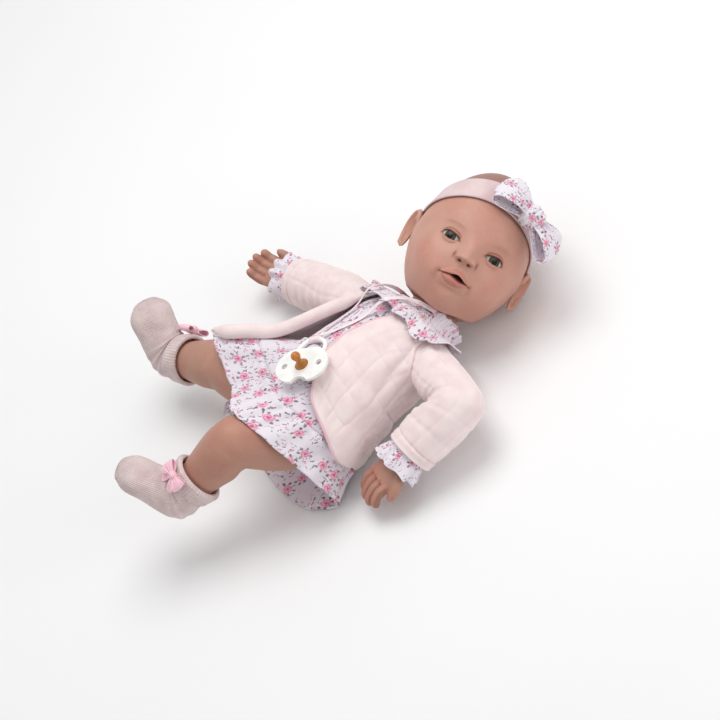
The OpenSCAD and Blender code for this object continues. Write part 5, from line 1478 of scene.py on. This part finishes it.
def leg_stations(k, grow=0.0, toe=1.0):
    t1, t2, fd = THIGHS[k], SHINS[k], FEET[k]
    b = unit(np.cross(fd, t2))
    ankle = knees[k] + t2 * SHIN_LEN
    f = FOOT_LEN
    rows = [
        [hips[k] + t1 * CLEARANCE, t1, b, THIGH_R, THIGH_R],
        [hips[k] + t1 * THIGH_LEN * 0.5, t1, b, THIGH_R, THIGH_R],
        [knees[k], unit(t1 + t2), b, KNEE_R, KNEE_R],
        [knees[k] + t2 * SHIN_LEN * CALF_SHARE, t2, b, CALF_R, CALF_R],
        [ankle, t2, b, ANKLE_R, ANKLE_R],
        [ankle + t2 * 11 + fd * f * 0.07, unit(t2 + fd), b, ANKLE_R * 0.95, ANKLE_R * 1.15],
        [ankle + t2 * 13 + fd * f * 0.5, fd, b, FOOT_W / 2, ANKLE_R * 0.78],
        [ankle + t2 * 14 + fd * f * 0.86, fd, b, FOOT_W * 0.46 * toe, ANKLE_R * 0.55 * toe],
        [ankle + t2 * 14.5 + fd * f * 1.06, fd, b, FOOT_W * 0.26 * toe, ANKLE_R * 0.3 * toe],
    ]
    return [[c, h, s, w + grow, d + grow] for c, h, s, w, d in rows]


def leg_piece(k):
    rows, cols = 200, 120
    points = loft(leg_stations(k)[:6], rows, cols)
    t = np.linspace(0, 1, rows)[:, None]
    knee_t = 0.4
    bend = unit(THIGHS[k] - SHINS[k])
    centre = points.mean(axis=1, keepdims=True)
    spoke = unit(points - centre)
    over_knee = (spoke * bend).sum(axis=2)
    dimples = -0.9 * bell((t - knee_t - 0.03) / 0.03) * bell((over_knee - 0.55) / 0.25)
    cap = bell((t - knee_t) / 0.05) * np.clip(over_knee, 0, 1) ** 2
    fold = -1.1 * bell((t - knee_t) / 0.022) * np.clip(-over_knee, 0, 1)
    fat = 0.35 * np.sin(t * 26) * ease((t - 0.05) / 0.2) * ease((0.9 - t) / 0.2)
    lumps = rough(points, 24, 61 + k) * 0.5
    ankle_crease = -0.7 * bell((t - 0.70) / 0.012)
    relief = (dimples + cap + fold + fat + lumps + ankle_crease) * ease(t / 0.12) - 0.35
    points = points + spoke * relief[..., None]
    keep_above(points, 1.0)
    paint = np.broadcast_to(LIMB_TONE, points.shape).copy()
    flush = bell((t - knee_t) / 0.07) * np.clip(over_knee, 0, 1)
    paint = mix(paint, srgb(206, 150, 124), np.clip(0.25 * flush, 0, 1)[..., None])
    # Painted shade: the crease behind the knee is darkened.
    paint = mix(paint, srgb(150, 104, 84), np.clip(-0.45 * fold, 0, 1)[..., None])
    made = grid_object(f"leg_{SIDES[k]}_vinyl", points, closed=True, flip=True, ends=True, tint=paint)
    return wear(made, SKIN, f"{SIDES[k]}_leg", "skin", f"leg_{SIDES[k]}")


def sock_piece(k):
    """The foot of a sock and its turned, ribbed cuff."""
    t2, fd = SHINS[k], FEET[k]
    rows, cols = 170, 160
    foot = loft(leg_stations(k, SOCK_IN + KNIT_T, SOCK_TOE)[4:], rows, cols)
    centre = foot.mean(axis=1, keepdims=True)
    spoke = unit(foot - centre)
    t = np.linspace(0, 1, rows)[:, None]
    ankle = knees[k] + t2 * SHIN_LEN
    b = unit(np.cross(fd, t2))
    sole = np.clip((spoke * unit(t2 - fd * (fd @ t2))).sum(axis=2), 0, 1)
    wrinkle = np.sin(t * 60 + 2.5 * rough(foot, 20, 71 + k)) * bell((t - 0.22) / 0.14) * (1 - 0.6 * sole)
    toes = 0.25 * np.cos((foot - ankle) @ b * 2 * np.pi / 7.0) * bell((t - 0.93) / 0.07)
    seam = 0.2 * bell((t - 0.86) / 0.015)
    lumps = rough(foot, 17, 73 + k) * 0.6 + rough(foot, 8, 75 + k) * 0.25
    foot = foot + spoke * (wrinkle * 0.8 + toes + seam + lumps * ease(t / 0.1))[..., None]
    tip = mix(centre[-1], foot[-1], vec(0.85, 0.6, 0.3, 0.05)[:, None, None])
    tip = tip + fd * vec(1.2, 2.2, 2.7, 2.8)[:, None, None]

    top_r = mix(ANKLE_R, CALF_R, SOCK_CUFF_LEN / (SHIN_LEN * (1 - CALF_SHARE)))
    u = np.linspace(0, 1, 50)[:, None]
    a = whole_turn(cols)[None, :]
    round_leg = spokes(b, np.cross(t2, b), a)
    outer_r = mix(ANKLE_R, top_r, u) + SOCK_IN + 2 * KNIT_T
    roll = -1.4 * bell((u - 1) / 0.06) - bell(u / 0.08)
    ribs = 0.22 * np.cos(a * 54)
    sag = 0.9 * rough(ankle + round_leg * 20 + t2 * (u * 14)[..., None], 13, 77 + k) * ease(u * 3)
    outer = ankle - t2 * (u * SOCK_CUFF_LEN)[..., None] + round_leg * (outer_r + roll + ribs + sag)[..., None]
    lip = ankle - t2 * (SOCK_CUFF_LEN + vec(0.7, 0.8, 0.3, -6.0))[:, None, None]
    lip = lip + round_leg * (top_r + vec(2.6, 1.7, 0.9, 0.9))[:, None, None]
    cuff = np.concatenate([lip[::-1], outer[::-1], foot[:1] - t2 * 0.2])

    foot = grid_object(f"sock_{SIDES[k]}_foot", np.concatenate([foot, tip]), closed=True, flip=True)
    cuff = grid_object(f"sock_{SIDES[k]}_cuff", cuff, closed=True, flip=True)
    wear(foot, KNIT, f"{SIDES[k]}_leg", "knit", f"sock_{SIDES[k]}")
    return wear(cuff, CUFF_KNIT, f"{SIDES[k]}_leg", "knit")


def sock_bow_piece(k):
    t2, fd = SHINS[k], FEET[k]
    rise = SOCK_CUFF_LEN * 0.55
    cuff_r = mix(ANKLE_R, CALF_R, rise / (SHIN_LEN * (1 - CALF_SHARE)))
    outer_side = unit(np.cross(fd, t2)) * (1 if k == LEFT else -1)
    out = unit(outer_side * 0.64 + unit(fd - t2 * (t2 @ fd)) * 0.77)
    off = cuff_r + SOCK_IN + 2 * KNIT_T + CLEARANCE + SOCK_BOW_D * 0.62
    place = knees[k] + t2 * (SHIN_LEN - rise) + out * off
    name, long = f"small_bow_{SIDES[k]}", unit(np.cross(t2, out))
    parts = bow_parts(
        name, place, out, long, loop_len=12, loop_h=SOCK_BOW_W, loop_d=SOCK_BOW_D + 1, knot_r=3, cloth=SATIN,
        tails=13)
    made = joined(f"sock_bow_{SIDES[k]}_satin", parts)
    return wear(made, SATIN, f"{SIDES[k]}_leg", "satin", f"sock_bow_{SIDES[k]}")


legs = [leg_piece(k) for k in (LEFT, RIGHT)]
sock_cuffs = [sock_piece(k) for k in (LEFT, RIGHT)]
sock_bows = [sock_bow_piece(k) for k in (LEFT, RIGHT)]

# Knot of the ribbon on the ring of the pacifier, which lies on the skirt
PACIFIER_PLACE = vec(12, -38, 89.1018)
LUG_X, LUG_Z = 9.9, 3.8
RING_R, RING_T = 11.5, 4.0
pacifier_turn = math.radians(134)
ring_tilt = math.radians(9)
ring_out = vec(math.cos(pacifier_turn), math.sin(pacifier_turn), 0)
ring_side = np.cross(UP, ring_out)
ring_long = ring_out * math.cos(ring_tilt) - UP * math.sin(ring_tilt)
ring_up = np.cross(ring_long, ring_side)
ring_centre = PACIFIER_PLACE + ring_out * LUG_X + vec(0, 0, LUG_Z) + ring_long * RING_R
sweep = np.radians(np.linspace(-26, 26, 70))[:, None]
round_it = whole_turn(60)[None, :]
turns = np.sin(sweep * 52 + round_it)
tube_r = RING_T / 2 + 0.55 + 0.25 * turns - 0.5 * ease((np.abs(np.degrees(sweep)) - 23) / 3)
knot_r = RING_R + tube_r * np.cos(round_it)
knot_points = ring_centre + spokes(ring_long, ring_side, sweep) * knot_r[..., None]
knot_points = knot_points + ring_up * (tube_r * np.sin(round_it))[..., None]
knot = grid_object("ribbon_knot_satin", knot_points, closed=True, flip=True, ends=True)
wear(knot, RIBBON, "root", "satin", "ribbon_knot")

# Rigid pieces keep their CAD form
FINISHES = {
    WHITE: ("white_plastic", [
        "pacifier_shield", "pacifier_knob", "pacifier_ring", "neck_tie", "arm_tie_left", "arm_tie_right",
        "leg_tie_left", "leg_tie_right"]),
    TEAT: ("teat_rubber", ["pacifier_teat"]),
    STEEL: ("steel", ["pacifier_magnet", "battery_contacts", "case_screws"]),
    GREY: ("grey_plastic", [
        "sound_case_front", "sound_case_rear", "battery_door", "power_switch", "speaker", "mouth_sensor"]),
    BOARD: ("board", ["circuit_board"]),
    CELL: ("steel", ["battery_cells"]),
    BUTTON: ("button_plastic", ["squeeze_button"]),
    DOME: ("dome_rubber", ["button_dome"]),
    SKIN: ("skin", ["neck_plug"]),
}
for material, (slot_name, names) in FINISHES.items():
    for name in names:
        piece = nodes[name]
        piece.data.materials.clear()
        piece.data.materials.append(material)
plug = nodes["neck_plug"]
plug_tint = plug.data.color_attributes.new("tint", "FLOAT_COLOR", "POINT")
plug_tint.data.foreach_set("color", np.tile([*SKIN_TONE, 1.0], len(plug.data.vertices)).astype(np.float32))

# Soft pieces as they were cut


def cloth(made, held, rests_on, width=None, with_pieces=()):
    """Works out the size to which a piece of cloth was cut, from half the area of its two faces."""
    mesh = made.evaluated_get(bpy.context.evaluated_depsgraph_get()).to_mesh()
    area = sum(polygon.area for polygon in mesh.polygons) / 2
    if width:
        flat = (width * MM, area / (width * MM))
    else:
        flat = np.ptp(numbers(made.data.uv_layers["flat"].data, "uv", 2), axis=0)
    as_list(rests_on)
    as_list(with_pieces)


cloth(skirt, "gathered", [torso, *legs])
cloth(bloomers, "gathered", [torso])
cloth(bodice, "draped", [torso])
cloth(collar, "gathered", [bodice, jacket])
cloth(jacket, "draped", [bodice, skirt], with_pieces=[piping, roll, *armholes])
cloth(band, "stretched", [head])
cloth(hair_bow, "folded", [band], width=HAIR_BOW_W)
for k in (LEFT, RIGHT):
    cloth(cuffs[k], "gathered", [sleeves[k]])
    cloth(sock_bows[k], "folded", [sock_cuffs[k]], width=SOCK_BOW_W)

# Floor, light and background
FLOOR_REACH = 6000
AMBIENT = 0.58
floor_corners = vec([-1, -1, 0], [1, -1, 0], [1, 1, 0], [-1, 1, 0]) * FLOOR_REACH
floor = finish_mesh("floor", floor_corners, [(0, 1, 2, 3)])
floor_paint = SurfacePaint("pale_floor")
cloud = floor_paint.noise(floor_paint.millimetres(), 0.004, 2.0)
floor_colour = floor_paint.blend(cloud, (0.93, 0.93, 0.93), (0.90, 0.90, 0.90))
floor.data.materials.append(floor_paint.finish(floor_colour, 0.9, 0.1))

scene.world = bpy.data.worlds.new("studio")
scene.world.use_nodes = True
sky = Paint(scene.world.node_tree)
background = sky.tree.nodes["Background"]
rays = sky.node("LightPath").outputs
seen = sky.calc("MAXIMUM", rays["Is Camera Ray"], rays["Is Glossy Ray"])
seen = sky.calc("MAXIMUM", seen, rays["Is Transmission Ray"])
sky.put(background.inputs["Color"], (1, 1, 1))
sky.put(background.inputs["Strength"], sky.scaled(seen, 1 - AMBIENT, AMBIENT))


def lamp(name, heading, away, size, power):
    data = bpy.data.lights.new(name, "AREA")
    data.shape = "DISK"
    data.size = size
    data.energy = power
    made = bpy.data.objects.new(name, data)
    scene.collection.objects.link(made)
    made.location = Vector(AIM_POINT * MM) + Vector(unit(heading)) * away
    made.rotation_euler = (-Vector(unit(heading))).to_track_quat("-Z", "Y").to_euler()


lamp("key", upward * 0.9 + toward * 0.55 - side_on * 0.35, 1.5, 1.1, 12.5)
lamp("fill", toward * 0.8 + side_on * 0.7 + upward * 0.2, 1.8, 1.2, 6)
